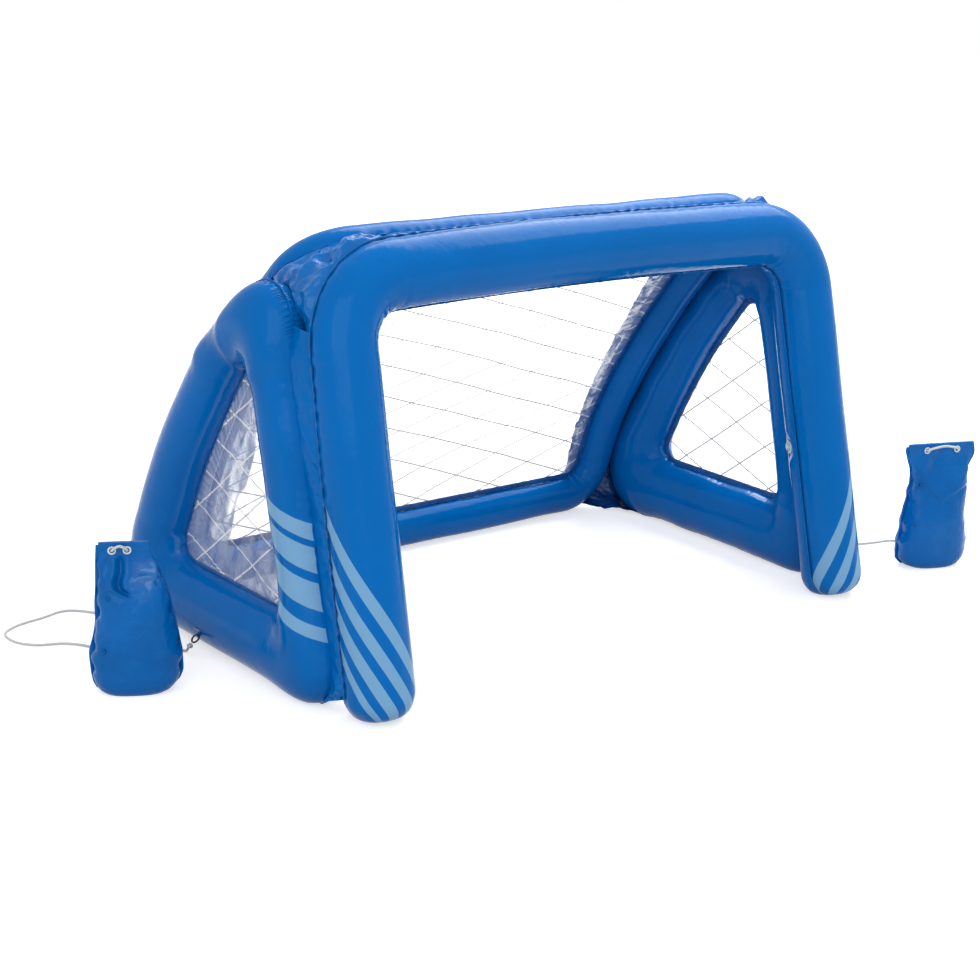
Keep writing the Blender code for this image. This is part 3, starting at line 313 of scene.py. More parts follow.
def piece(name, points, faces, body, material, values=None, stands_for=()):
    # values are numbers for every point, or what spreads to them
    mesh = bpy.data.meshes.new(name)
    points = np.array(points, float)
    shape = points.shape[:-1]
    points = points.reshape(-1, 3)
    points[:, 2] = np.maximum(points[:, 2], FLOOR)
    mesh.from_pydata((points - MIDDLE).tolist(), [], [list(face) for face in faces])
    for key, numbers in (values or {}).items():
        stored = mesh.attributes.new(key, "FLOAT", "POINT").data
        stored.foreach_set("value", np.ravel(np.broadcast_to(numbers, shape)).astype(np.float32))
    mesh.shade_smooth()
    mesh.materials.append(material)
    obj = bpy.data.objects.new(name, mesh)
    bpy.context.scene.collection.objects.link(obj)
    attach(obj, body)
    if stands_for:
        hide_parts(*stands_for)
    return obj


def capped(grid, ends=(0, -1), flip=False, values=None):
    # A tube of rings with its first ring, its last or both closed by triangles round a middle point,
    # where the values are 0
    rows, sides = grid.shape[:2]
    points = grid.reshape(-1, 3)
    faces = grid_faces(rows, sides, close_columns=True, flip=flip).tolist()
    for end in ends:
        ring = np.arange(sides) + end % rows * sides
        fan = [(ring[k], ring[(k + 1) % sides], len(points)) for k in range(sides)]
        faces += [face[::-1] for face in fan] if end else fan
        points = np.vstack([points, grid[end].mean(0)])
    values = {key: np.append(np.broadcast_to(numbers, grid.shape[:2]), [0.0] * len(ends))
              for key, numbers in (values or {}).items()}
    return points, faces, values


# The chambers' lines

ARCH_UP = unit((0.0, ARCH_BAR_SETBACK, ARCH_BAR_HEIGHT))
ARCH_RISE = math.hypot(ARCH_BAR_SETBACK, ARCH_BAR_HEIGHT)
ARCH_FRONT = np.array((0.0, -ARCH_UP[2], ARCH_UP[1]))
BACK_SHARES = ((0.000, 1.000), (0.115, 0.945), (0.255, 0.860), (0.385, 0.762), (0.515, 0.655), (0.635, 0.545),
               (0.745, 0.435), (0.840, 0.325), (0.915, 0.220), (0.970, 0.110), (1.000, 0.000))


def arch_line(count):
    # Centre line in the arch's plane, and its outward normals
    foot = ARCH_HALF_SPAN + ARCH_SPLAY
    start = ARCH_FOOT_ROUND / ARCH_UP[2]
    corners = [(-foot, start), (-ARCH_HALF_SPAN, ARCH_RISE), (ARCH_HALF_SPAN, ARCH_RISE), (foot, start)]
    flat = rounded(corners, [0.0, ARCH_BEND, ARCH_BEND, 0.0], 40)
    flat = even(flat, count)
    spread = np.clip(1 - (flat[:, 0] / ARCH_HALF_SPAN) ** 2, 0, 1) * (flat[:, 1] > ARCH_RISE - ARCH_BEND)
    flat[:, 1] += ARCH_BOW * spread
    way = slopes(flat)
    return flat, np.stack([-way[:, 1], way[:, 0]], 1)


def in_arch(flat):
    return flat[..., :1] * np.array((1.0, 0.0, 0.0)) + flat[..., 1:2] * ARCH_UP


def back_profile():
    depth = BACK_FOOT_SETBACK - BACK_TOP_SETBACK
    foot = BACK_RADIUS - FLAT
    height = BACK_TOP_HEIGHT - foot
    return smooth([(BACK_TOP_SETBACK + depth * back, foot + height * up) for back, up in BACK_SHARES], 400)


PROFILE = back_profile()
PROFILE_LENGTH = length_of(PROFILE)
PROFILE_WAY = slopes(PROFILE)


def on_back(x, down):
    # Points of the back surface, and the surface's outward normals
    at = np.clip(np.asarray(down, float) / PROFILE_LENGTH, 0, 1) * (len(PROFILE) - 1)
    index = np.arange(len(PROFILE))
    y, z = (np.interp(at, index, PROFILE[:, axis]) for axis in (0, 1))
    along_y, along_z = (np.interp(at, index, PROFILE_WAY[:, axis]) for axis in (0, 1))
    over = (np.asarray(down) - np.clip(down, 0, PROFILE_LENGTH))
    points = np.stack([x + 0 * y, y + over * along_y, z + over * along_z], -1)
    return points, unit(np.stack([0 * y, -along_z, along_y], -1))


def back_flat(inset, count):
    # The rounded rectangle of the back laid flat
    half = BACK_HALF_SPAN - inset
    low = PROFILE_LENGTH - inset
    corners = [(-half, inset), (half, inset), (half, low), (-half, low)]
    return even(rounded(corners, [BACK_BEND - inset] * 4, 24, True), count, True)


def window_ring(inset, count):
    # Rounded triangle of a side window in setback and height, its rear edge swollen
    corners = [(WINDOW_FRONT, WINDOW_SILL), (WINDOW_REAR, WINDOW_SILL), (WINDOW_PEAK_SETBACK, WINDOW_PEAK)]
    ring = even(rounded(corners, [WINDOW_CORNER] * 3, 24, True), count, True)
    start, end = np.array(corners[1]), np.array(corners[2])
    along = unit(end - start)
    out = np.array((along[1], -along[0]))
    share = (ring - start) @ along / np.linalg.norm(end - start)
    depth = (ring - start) @ out
    swell = WINDOW_REAR_SWELL * np.sin(math.pi * np.clip(share, 0, 1)) * ease(depth, -0.05, -0.012)
    ring = ring + out * swell[:, None]
    return even(ring - ring_out(ring) * inset, count, True)


def ring_out(ring):
    way = slopes(ring, True)
    return np.stack([way[:, 1], -way[:, 0]], 1)


LEAN = ARCH_BAR_SETBACK / ARCH_BAR_HEIGHT
WINDOW_LEAN = (WINDOW_PEAK_SETBACK - WINDOW_FRONT) / (WINDOW_PEAK - WINDOW_SILL)


def seat_behind(far_edge, apart, radius):
    # Offset of an oval tube's near edge that leaves room for one web beside a round tube
    low, high = -radius, far_edge - 0.0003
    angle = math.pi * np.arange(24) / 24 - math.pi / 2
    for _ in range(30):
        middle = (low + high) / 2
        wide = (far_edge - middle) / 2
        half = min(SIDE_THICKNESS / 2, wide)
        gap = np.hypot(apart - half * np.cos(angle), middle + wide - wide * np.sin(angle)).min() - radius
        low, high = (middle, high) if gap < WEB_GAP else (low, middle)
    return high


def front_edge(height):
    leg = height * LEAN
    splay = ARCH_SPLAY * (1 - height / ARCH_BAR_HEIGHT)
    far = WINDOW_FRONT + WINDOW_LEAN * (height - WINDOW_SILL) - RIM_WIDTH - leg
    return leg + seat_behind(far, SIDE_PLANE - ARCH_HALF_SPAN - splay, ARCH_RADIUS / ARCH_UP[2])


RIM_RING = window_ring(-RIM_WIDTH, 400)


def rear_edge(share):
    centre, normal = on_back(0.0, PROFILE_LENGTH * share)
    flat, normal = centre[1:], normal[1:]
    far = np.linalg.norm(RIM_RING - flat, axis=1).min()
    return flat - normal * seat_behind(far, SIDE_PLANE - BACK_HALF_SPAN, BACK_RADIUS)


def side_outline(count):
    foot = front_edge(SIDE_CORNER)
    last = rear_edge(0.90)
    run = last[0] - SIDE_CORNER - foot
    points = [(foot + SIDE_CORNER, -FLAT)]
    points += [(foot + run * share, -FLAT) for share in (0.3, 0.5, 0.7, 0.88)]
    points.append((last[0] - SIDE_CORNER * 0.62, SIDE_CORNER * 0.20))
    points += [tuple(rear_edge(share)) for share in (0.90, 0.82, 0.74, 0.66, 0.58, 0.50, 0.42, 0.34, 0.27)]
    points.append((SIDE_TOP_SETBACK, SIDE_TOP_HEIGHT))
    points += [(front_edge(SIDE_TOP_HEIGHT * share), SIDE_TOP_HEIGHT * share)
               for share in (0.945, 0.87, 0.75, 0.60, 0.45, 0.30, 0.17)]
    points.append((foot, SIDE_CORNER))
    points.append((foot + SIDE_CORNER * 0.25, SIDE_CORNER * 0.20))
    return smooth(points, count, True)


SIDE_RING = side_outline(1200)


def reach_to_ring(starts, ways, ring):
    # Distance from each start along its way to the ring
    edge = np.roll(ring, -1, 0) - ring
    cross = ways[:, None, 0] * edge[None, :, 1] - ways[:, None, 1] * edge[None, :, 0]
    to = ring[None] - starts[:, None]
    cross = np.where(np.abs(cross) < 1e-12, 1e-12, cross)
    far = (to[..., 0] * edge[None, :, 1] - to[..., 1] * edge[None, :, 0]) / cross
    share = (to[..., 0] * ways[:, None, 1] - to[..., 1] * ways[:, None, 0]) / cross
    return np.where((far > 0) & (share >= -1e-9) & (share <= 1 + 1e-9), far, 9.0).min(1)


# Chambers

def seam_fin(name, line, out, normal, reach, seed, material, closed=False, plain=0.0):
    # The welded edge that stands out along a seam; plain takes the dark tone off its foot
    wave = ripples(even_run(line, closed), 0.022, seed) * 0.0011
    # Share of the reach, half thickness and seam shade from the foot to the edge
    front = ((-0.5, 0.0011, 0.0), (0.6, 0.0009, 0.002), (1.0, 0.0007, 0.02))
    profile = front + tuple((share, -thick, shade) for share, thick, shade in front[::-1])
    rows = [line + out * (reach * share) + normal * (wave * max(share, 0) ** 2 + thick)[:, None]
            for share, thick, _ in profile]
    faces = grid_faces(len(line), len(rows), close_rows=closed)
    values = {"seam": np.array([shade for _, _, shade in profile]) + plain}
    return piece(name, np.stack(rows, 1), faces, "goal", material, values)


def arch_skin(material, seam_material):
    count, sides, ends = 640, 72, 14
    flat, out = arch_line(count)
    # Stations past each end close the legs with a blunt round
    turns = math.radians(88) * np.linspace(0, 1, ends + 1)[1:] ** 0.8
    length = ARCH_FOOT_ROUND / ARCH_UP[2]
    way = slopes(flat)
    head = flat[0] - way[0] * (length * np.sin(turns[::-1]))[:, None]
    tail = flat[-1] + way[-1] * (length * np.sin(turns))[:, None]
    shares = np.concatenate([np.cos(turns[::-1]) ** 0.6, np.ones(count), np.cos(turns) ** 0.6])
    flat = np.vstack([head, flat, tail])
    out = np.vstack([np.repeat(out[:1], ends, 0), out, np.repeat(out[-1:], ends, 0)])
    run = distances(flat)
    bend = np.gradient(np.unwrap(np.arctan2(out[:, 1], out[:, 0]))) / np.gradient(run)
    bend = soft(np.abs(bend) * ARCH_BEND, 31).clip(0, 1)
    centre = in_arch(flat)
    outward = in_arch(out)
    facing = np.broadcast_to(ARCH_FRONT, outward.shape)
    angle = spokes(sides)
    ring = circles(angle, outward, facing)
    base = centre[:, None] + ring * (ARCH_RADIUS * shares)[:, None, None]
    # The outer weld sits on the crossbar's crown and further back beside the legs
    tilt = np.radians(6 + 11 * (1 - ease(centre[:, 2], 0.33, 0.60))) * ease(centre[:, 2], 0.70, 0.60)
    from_seam = (angle[None] + tilt[:, None] + math.pi) % (2 * math.pi) - math.pi
    seam_out = np.abs(from_seam) * ARCH_RADIUS
    seam_in = np.abs(angle - math.pi) * ARCH_RADIUS
    low = 1 - ease(base[..., 2], 0.01, 0.075)
    lift = waves(base, 0.20, 3) * 0.0007
    lift += puckers(run, 0.019, 11, seam_in, 0.010, 0.0003 + 0.0011 * bend)
    lift += puckers(run, 0.036, 12, seam_in, 0.040, 0.0001 + 0.0010 * bend)
    lift += puckers(run, 0.028, 13, seam_out, 0.012, 0.0008)
    lift += creases(base, 0.022, 5) * 0.0026 * low * shares[:, None] - 0.001 * low
    lift -= 0.0030 * groove(seam_in, 0.006) + 0.0016 * groove(seam_out, 0.006)
    side = np.sign(base[..., 0] + 1e-9)
    turn = np.degrees(np.arctan2(-ring[..., 1], ring[..., 0] * side))
    # The printed bands fall from a leg's outer side to its inner one, and lie higher on the right leg
    values = {"stripe": base[..., 2] + 0.00187 * turn - 0.030 * (side > 0), "stripe_turn": turn,
              "seam": np.minimum(seam_out, seam_in)}
    points, faces, values = capped(clear_of_valves(base + ring * lift[..., None]), flip=True, values=values)
    piece("arch_skin", points, faces, "goal", material, values, ("front_arch",))
    inside = slice(ends, -ends)
    cos, sin = np.cos(tilt)[:, None], np.sin(tilt)[:, None]
    crown = (cos * outward - sin * facing)[inside]
    across = (sin * outward + cos * facing)[inside]
    weld_line = centre[inside] + crown * ARCH_RADIUS
    seam_fin("arch_outer_seam", weld_line, crown, across, 0.0032, 21, seam_material)
    inner_line = base[inside, sides // 2]
    seam_fin("arch_inner_seam", inner_line, -outward[inside], facing[inside], 0.0026, 22, material)
    return weld_line


def back_skin(material):
    count, sides = 820, 56
    flat = back_flat(0.0, count)
    centre, normal = on_back(flat[:, 0], flat[:, 1])
    out = unit(np.cross(slopes(centre, True), normal))
    outside = ring_out(flat)
    sign = np.sign((out[:, 0] * outside[:, 0]).sum())
    out = out * sign
    run = even_run(centre)
    angle = spokes(sides)
    bend = bend_of(outside, 31)
    ring = circles(angle, out, normal)
    base = centre[:, None] + ring * BACK_RADIUS
    seam_out = np.minimum(angle, 2 * math.pi - angle) * BACK_RADIUS
    seam_in = np.abs(angle - math.pi) * BACK_RADIUS
    lift = waves(base, 0.16, 33) * 0.0006
    lift += puckers(run, 0.018, 31, seam_in, 0.009, 0.0004 + 0.0012 * bend)
    lift += puckers(run, 0.034, 34, seam_in, 0.030, 0.0001 + 0.0012 * bend)
    lift += puckers(run, 0.026, 32, seam_out, 0.010, 0.0008)
    lift -= 0.0026 * groove(seam_in, 0.005) + 0.0014 * groove(seam_out, 0.005)
    points = clear_of_valves(base + ring * lift[..., None])
    faces = grid_faces(count, sides, True, True, flip=sign > 0)
    piece("back_skin", points, faces, "goal", material, {"seam": np.minimum(seam_out, seam_in)},
          ("back_frame",))
    seam_fin("back_outer_seam", base[:, 0], out, normal, 0.0034, 41, material, True)
    return base[:, 0]


def side_skin(name, sign, material):
    count, sides = 520, 64
    inner = window_ring(-RIM_WIDTH, count)
    normal = ring_out(inner)
    normal = unit(np.stack([soft(normal[:, axis], 45, True) for axis in (0, 1)], 1))
    width = soft(reach_to_ring(inner, normal, SIDE_RING), 15, True)
    half = np.minimum(SIDE_THICKNESS / 2, width / 2)
    angle = spokes(sides)
    flat = inner[:, None] + normal[:, None] * (width[:, None] / 2 * (1 - np.cos(angle)[None]))[..., None]
    thick = half[:, None] * np.sin(angle)[None]
    base = np.concatenate([(sign * (SIDE_PLANE + thick))[..., None], flat], -1)
    line = base[:, sides // 2]
    run = even_run(inner)
    outer_run = distances(np.vstack([line[-1:], line]))[1:]
    seam_in = np.minimum(angle, 2 * math.pi - angle)[None] * width[:, None] / 2
    seam_out = np.abs(angle - math.pi)[None] * width[:, None] / 2
    across = (sign * np.sin(angle)[None] / half[:, None])[..., None]
    inward = (-np.cos(angle)[None] / (width[:, None] / 2))[..., None]
    push = unit(np.concatenate([across, normal[:, None] * inward], -1))
    seed = 50 if sign < 0 else 70
    bend = bend_of(normal, 21)
    low = 1 - ease(base[..., 2], 0.0, 0.05)
    lift = waves(base, 0.18, seed) * 0.0009
    lift += puckers(run, 0.020, seed + 1, seam_in, 0.008, 0.0003 + 0.0008 * bend)
    lift += puckers(run, 0.045, seed + 4, seam_in, 0.030, 0.0001 + 0.0012 * bend)
    lift += puckers(outer_run, 0.026, seed + 2, seam_out, 0.014, 0.0011)
    lift += creases(base, 0.030, seed + 3) * 0.0012 * low * np.exp(-seam_out / 0.03)
    lift -= 0.0016 * groove(seam_out, 0.005)
    points = clear_of_valves(base + push * lift[..., None])
    share = np.clip((math.pi - angle) / math.pi, 0, 1)
    upright = ((inner[:, 0] < WINDOW_FRONT + 0.14) & (normal[:, 0] < -0.75)).astype(float)
    pleat = outer_run / 0.0085 + 0.5 * ripples(outer_run, 0.05, seed + 6)
    top = ease(base[..., 2], 0.60, 0.68)
    # The printed bands rise from the outer seam towards the film
    values = {"pleat": pleat[:, None], "pleat_on": top * np.exp(-((seam_out - 0.013) / 0.011) ** 4),
              "rolled": np.exp(-((seam_in - 0.018) / 0.014) ** 4),
              "stripe": base[..., 2] + 0.006 - 0.054 * share - 0.026 * share ** 2,
              "stripe_on": upright[:, None] * (angle < math.pi), "stripe_in": seam_out,
              "seam": np.minimum(seam_in, seam_out)}
    faces = grid_faces(count, sides, True, True, flip=sign > 0)
    piece(name + "_side_skin", points, faces, "goal", material, values, (name + "_side_frame",))
    outward = np.concatenate([np.zeros((count, 1)), normal], 1)
    across = np.broadcast_to(np.array((sign, 0.0, 0.0)), outward.shape)
    seam_fin(name + "_side_seam", line, outward, across, 0.0026, seed + 9, material, True, 0.02)
    return line, outward, points, faces, base


# Films, rims and webs

# One crossing of the printed cords on the back's profile, their slant, their middle and their spacing
BACK_NET_NODE = (0.562, 0.4596)
BACK_NET_SLANT = 0.385
BACK_NET_MIDDLE = 0.0315
BACK_NET_CELL = 0.079
# One crossing on the side films in setback and height, and the steps to the next two
SIDE_NET_NODE = (0.364, 0.2808)
SIDE_NET_STEPS = ((-0.072, 0.0562), (-0.0925, -0.034))
FILM_MIDDLE = np.array((0.395, 0.265))


def side_net(points):
    # Coordinates in which the printed cords are the whole numbers
    apart = np.moveaxis(points - np.array(SIDE_NET_NODE), -1, 0).reshape(2, -1)
    return np.linalg.solve(np.array(SIDE_NET_STEPS).T, apart).T.reshape(points.shape)


def back_film(material, rim_material):
    reach = BACK_RADIUS + RIM_WIDTH - 0.002
    half, low, high = BACK_HALF_SPAN - reach, PROFILE_LENGTH - reach, reach
    corner = BACK_BEND - reach
    rows, columns = 260, 300
    down = np.linspace(high, low, rows)
    edge = np.minimum(down - high, low - down).clip(0, corner)
    width = half - corner + np.sqrt(np.maximum(corner ** 2 - (corner - edge) ** 2, 0))
    across = np.linspace(-1, 1, columns)[None] * width[:, None]
    downs = np.broadcast_to(down[:, None], across.shape)
    points, normal = on_back(across, downs)
    far = np.minimum(np.minimum(downs - high, low - downs), half - np.abs(across))
    flat = np.stack([across, downs], -1)
    lift = waves(flat, 0.30, 81) * 0.0016 * ease(far, 0, 0.10)
    lift += creases(flat, 0.050, 82) * 0.0010 * ease(far, 0, 0.012)
    near = np.exp(-far / 0.030) * ease(far, 0, 0.004)
    beside = np.abs(across) / half > np.abs(downs - (high + low) / 2) / ((low - high) / 2)
    lift += ripples(np.where(beside, downs, across), 0.021, 83) * near * 0.0014
    node_at = np.linalg.norm(PROFILE - BACK_NET_NODE, axis=1).argmin()
    from_node = downs - PROFILE_LENGTH * node_at / (len(PROFILE) - 1)
    slanted = BACK_NET_SLANT * (across - BACK_NET_MIDDLE)
    low_crush = ease(downs, low - 0.13, low)
    share = (downs - high) / (low - high)
    wide = 0.074 - 0.046 * share + 0.0014 * ripples(downs, 0.05, 85)
    edge_far = half - across
    strip = ease(wide - edge_far, -0.0015, 0.0015)
    left_strip = ease(wide - half - across, -0.0015, 0.0015)
    fold = creases(flat * (1.0, 0.35), 0.020, 87)
    lift += fold * np.maximum(strip, left_strip) * 0.0012
    # Higher at the bottom, near the rim, in a bluish strip along the right edge, in a thin strip along the
    # left edge and in folds on the left part
    fog_and_painted_reflection = 0.05 + 0.08 * low_crush + strip * (0.86 + 0.08 * fold) + 0.05 * np.exp(-far / 0.008)
    fog_and_painted_reflection += left_strip * 0.18 + 0.10 * ease(-across, 0.34, 0.42) * (fold > 0.35)
    fog_and_painted_reflection = fog_and_painted_reflection.clip(0.03, 0.98)
    points = points + normal * lift[..., None]
    values = {"net_a": (from_node - slanted) / BACK_NET_CELL,
              "net_b": (from_node + slanted) / BACK_NET_CELL, "fog_and_painted_reflection": fog_and_painted_reflection, "strip": strip}
    piece("back_film", points, grid_faces(rows, columns), "goal", material, values, ("back_window",))
    count = 900
    outer, inner = back_flat(BACK_RADIUS - 0.002, count), back_flat(BACK_RADIUS + RIM_WIDTH, count)
    strip_between("back_film_rim", outer, inner, on_back_pair, rim_material, ("back_window_rim",), 84)


def on_back_pair(flat):
    return on_back(flat[..., 0], flat[..., 1])


def on_side_pair(sign):
    def found(flat):
        points = np.concatenate([np.full(flat.shape[:-1] + (1,), sign * SIDE_PLANE), flat], -1)
        return points, np.broadcast_to(np.array((sign * 1.0, 0.0, 0.0)), points.shape)
    return found


def strip_between(name, outer, inner, place, material, stands_for, seed):
    # A closed welded rim with two pressed ribs
    shares = np.array((0.0, 0.10, 0.22, 0.34, 0.46, 0.58, 0.70, 0.82, 0.94, 1.0))
    rib = np.array((0.0006, 0.0011, 0.0014, 0.0007, 0.0006, 0.0013, 0.0013, 0.0006, 0.0009, 0.0005))
    flat = outer[:, None] * (1 - shares)[None, :, None] + inner[:, None] * shares[None, :, None]
    points, normal = place(flat)
    wave = ripples(even_run(outer), 0.030, seed)[:, None] * (0.0001 + 0.0005 * shares[None])
    front = points + normal * (rib[None] + wave)[..., None]
    back = points - normal * (rib[None] - wave)[..., None]
    grid = np.concatenate([front, back[:, ::-1]], 1)
    faces = grid_faces(len(outer), grid.shape[1], True, True)
    piece(name, grid, faces, "goal", material, None, stands_for)


def side_film(name, sign, material, rim_material):
    rows, columns = 90, 420
    rim = 0.0045 if sign < 0 else RIM_WIDTH
    ring = window_ring(rim - RIM_WIDTH - 0.002, columns)
    shares = np.linspace(0.0, 1.0, rows + 1)[1:] ** 0.85
    flat = FILM_MIDDLE + (ring - FILM_MIDDLE)[None] * shares[:, None, None]
    far = (1 - shares)[:, None] * np.linalg.norm(ring - FILM_MIDDLE, axis=1)[None]
    points, normal = on_side_pair(sign)(flat)
    seed = 90 if sign < 0 else 95
    lift = waves(flat, 0.26, seed) * 0.0022 * ease(far, 0, 0.08)
    lift += creases(flat, 0.042, seed + 1) * 0.0013 * ease(far, 0, 0.010)
    rim_ripples = ripples(even_run(ring), 0.024, seed + 2)[None]
    lift += rim_ripples * np.exp(-far / 0.026) * ease(far, 0, 0.004) * 0.0016
    points = points + normal * lift[..., None]
    net = side_net(flat)
    setback, height = flat[..., 0], flat[..., 1]
    if sign < 0:
        # The whole left film is painted greyer than the right one, and darker and bluish over its rear and
        # its low front part: painted reflection of the blue tubes seen through it
        streaks = np.stack([setback * 0.94 + height * 0.34, (height - 0.36 * setback) * 0.16], -1)
        streak = waves(streaks, 0.030, 97)
        painted_reflection = np.maximum(ease(setback + 0.444 * height - 0.526 + 0.006 * streak, -0.004, 0.004),
                            ease(0.298 - 0.215 * setback - height, -0.004, 0.004))
        fog_and_painted_reflection = 0.26 + 0.58 * painted_reflection + 0.13 * streak + 0.06 * creases(flat, 0.030, 98)
        fog_and_painted_reflection = fog_and_painted_reflection.clip(0.14, 0.94)
    else:
        painted_reflection = 0 * far
        fog_and_painted_reflection = 0.05 + 0.08 * np.exp(-far / 0.012) + 0.02 * creases(flat, 0.055, 99)
    values = {"net_a": net[..., 0], "net_b": net[..., 1], "fog_and_painted_reflection": fog_and_painted_reflection, "strip": painted_reflection * 0.75}
    points, faces, values = capped(points, (0,), False, values)
    for numbers in values.values():
        numbers[-1] = numbers[0]
    values["net_a"][-1], values["net_b"][-1] = side_net(FILM_MIDDLE)
    piece(name + "_film", points, faces, "goal", material, values, (name + "_window",))
    count = 560
    outer, inner = window_ring(-RIM_WIDTH - 0.0015, count), window_ring(rim - RIM_WIDTH, count)
    strip_between(name + "_film_rim", outer, inner, on_side_pair(sign), rim_material,
                  (name + "_window_rim",), seed + 5)


def band(name, first, second, bulge, crumple, size, seed, material, stands_for, tree=None, columns=26,
         toward=None, foot=False):
    # A crumpled sheet from one line of points to another
    first, second = np.asarray(first), np.asarray(second)
    shares = np.linspace(0, 1, columns)
    grid = first[:, None] * (1 - shares)[None, :, None] + second[:, None] * shares[None, :, None]
    along = slopes((first + second) / 2)
    across = unit(second - first)
    normal = unit(np.cross(along, across))
    if toward is not None:
        normal = normal * np.sign(normal @ np.array(toward, float))[:, None]
    crumple = crumple * (1 + 1.8 * foot * ease(first[:, 2], 0.12, 0.04))[:, None]
    inside = np.sin(math.pi * shares)[None]
    low = 1 - ease(first[:, 2], 0.03, 0.12)[:, None]
    calm = np.where(foot, np.maximum(1 - shares[None] ** 2, low), 1.0)
    pinned = ease(inside, 0.0, 0.45) * calm
    lift = bulge * inside + creases(grid, size, seed, 3 if tree else 6) * crumple * pinned
    lift += creases(grid, size * 0.45, seed + 3) * crumple * 0.30 * pinned
    if tree:
        start = ease(np.arange(len(first)), 0, 14)[:, None]
        lift = lift * start + creases(grid, size * 0.4, seed + 5, 4) * crumple * 0.35 * inside * start
    grid = grid + normal[:, None] * lift[..., None]
    if tree:
        # Kept just clear of the side frame's skin
        clear = 0.0012
        for index in np.ndindex(grid.shape[:2]):
            found, away, _, _ = tree.find_nearest(Vector(grid[index]))
            if (Vector(grid[index]) - found).dot(away) < clear:
                grid[index] = found + away * clear
    seam = np.linalg.norm(second - first, axis=1)[:, None] * shares[None]
    # At a foot the seam value drops on crease ridges near the floor, which darkens them: painted shade in the
    # crumples
    if foot:
        seam = seam - 0.03 * ease(grid[..., 2], 0.11, 0.03) * creases(grid, 0.018, seed + 8).clip(0, 1)
    return piece(name, grid, grid_faces(*grid.shape[:2]), "goal", material, {"seam": seam}, stands_for)


def top_stretch(seam, height):
    # The part of a seam that runs across the top of the goal, from left to right at even points
    chosen = seam[(seam[:, 2] > height) & (np.abs(seam[:, 0]) < 0.466)]
    return even(chosen[np.argsort(chosen[:, 0])], 420)


def upward(line):
    return line[np.argsort(line[:, 2])]


def at_heights(line, heights):
    # The points of an upward line at these heights
    return np.stack([np.interp(heights, line[:, 2], line[:, axis]) for axis in range(3)], 1)


def ring_rows(line, edge):
    # Row numbers of the side skin that the points of its seam came from
    return np.array([np.linalg.norm(line - point, axis=1).argmin() for point in edge])


def lap(skin, rows_at, index, wrap):
    # Points of the side skin at a section angle, just off the surface
    rows = np.interp(index, np.arange(len(rows_at)), rows_at)
    column = wrap / (2 * math.pi) * skin.shape[1]
    low_row, low_column = np.floor(rows).astype(int), column.astype(int)
    part_row, part_column = (rows - low_row)[:, None], (column - low_column)[:, None]
    low_row = low_row % skin.shape[0]
    next_row, next_column = (low_row + 1) % skin.shape[0], (low_column + 1) % skin.shape[1]
    near = skin[low_row, low_column] * (1 - part_column) + skin[low_row, next_column] * part_column
    far = skin[next_row, low_column] * (1 - part_column) + skin[next_row, next_column] * part_column
    found = near * (1 - part_row) + far * part_row
    gap = 0.0008
    return found + gap * np.sign(found[:, :1]) * np.array((1.0, 0.0, 0.0))


def corner_drape(name, sign, skin, faces, material):
    # The crumpled sheet over a top corner, from the arch's bend to the back's
    turn = np.linspace(0, math.radians(86), 150)
    reach = ARCH_BEND + ARCH_RADIUS + 0.002
    flat = np.stack([ARCH_HALF_SPAN - ARCH_BEND + reach * np.sin(turn),
                     ARCH_RISE - ARCH_BEND + reach * np.cos(turn)], -1)
    flat[:, 1] += ARCH_BOW * (1 - (flat[:, 0] / ARCH_HALF_SPAN) ** 2).clip(0, 1)
    first = in_arch(flat)
    reach = BACK_BEND + BACK_RADIUS + 0.002
    across = BACK_HALF_SPAN - BACK_BEND + reach * np.sin(turn)
    second, _ = on_back(across, BACK_BEND - reach * np.cos(turn))
    first[:, 0] *= sign
    second[:, 0] *= sign
    tree = BVHTree.FromPolygons(skin.reshape(-1, 3).tolist(), faces.tolist())
    band(name + "_corner_drape", first, second, -0.002, 0.0120, 0.042, 110 + sign, material,
         (name + "_corner_web", name + "_shoulder_gusset"), tree, 80, (sign * 1.0, -0.2, 1.0))


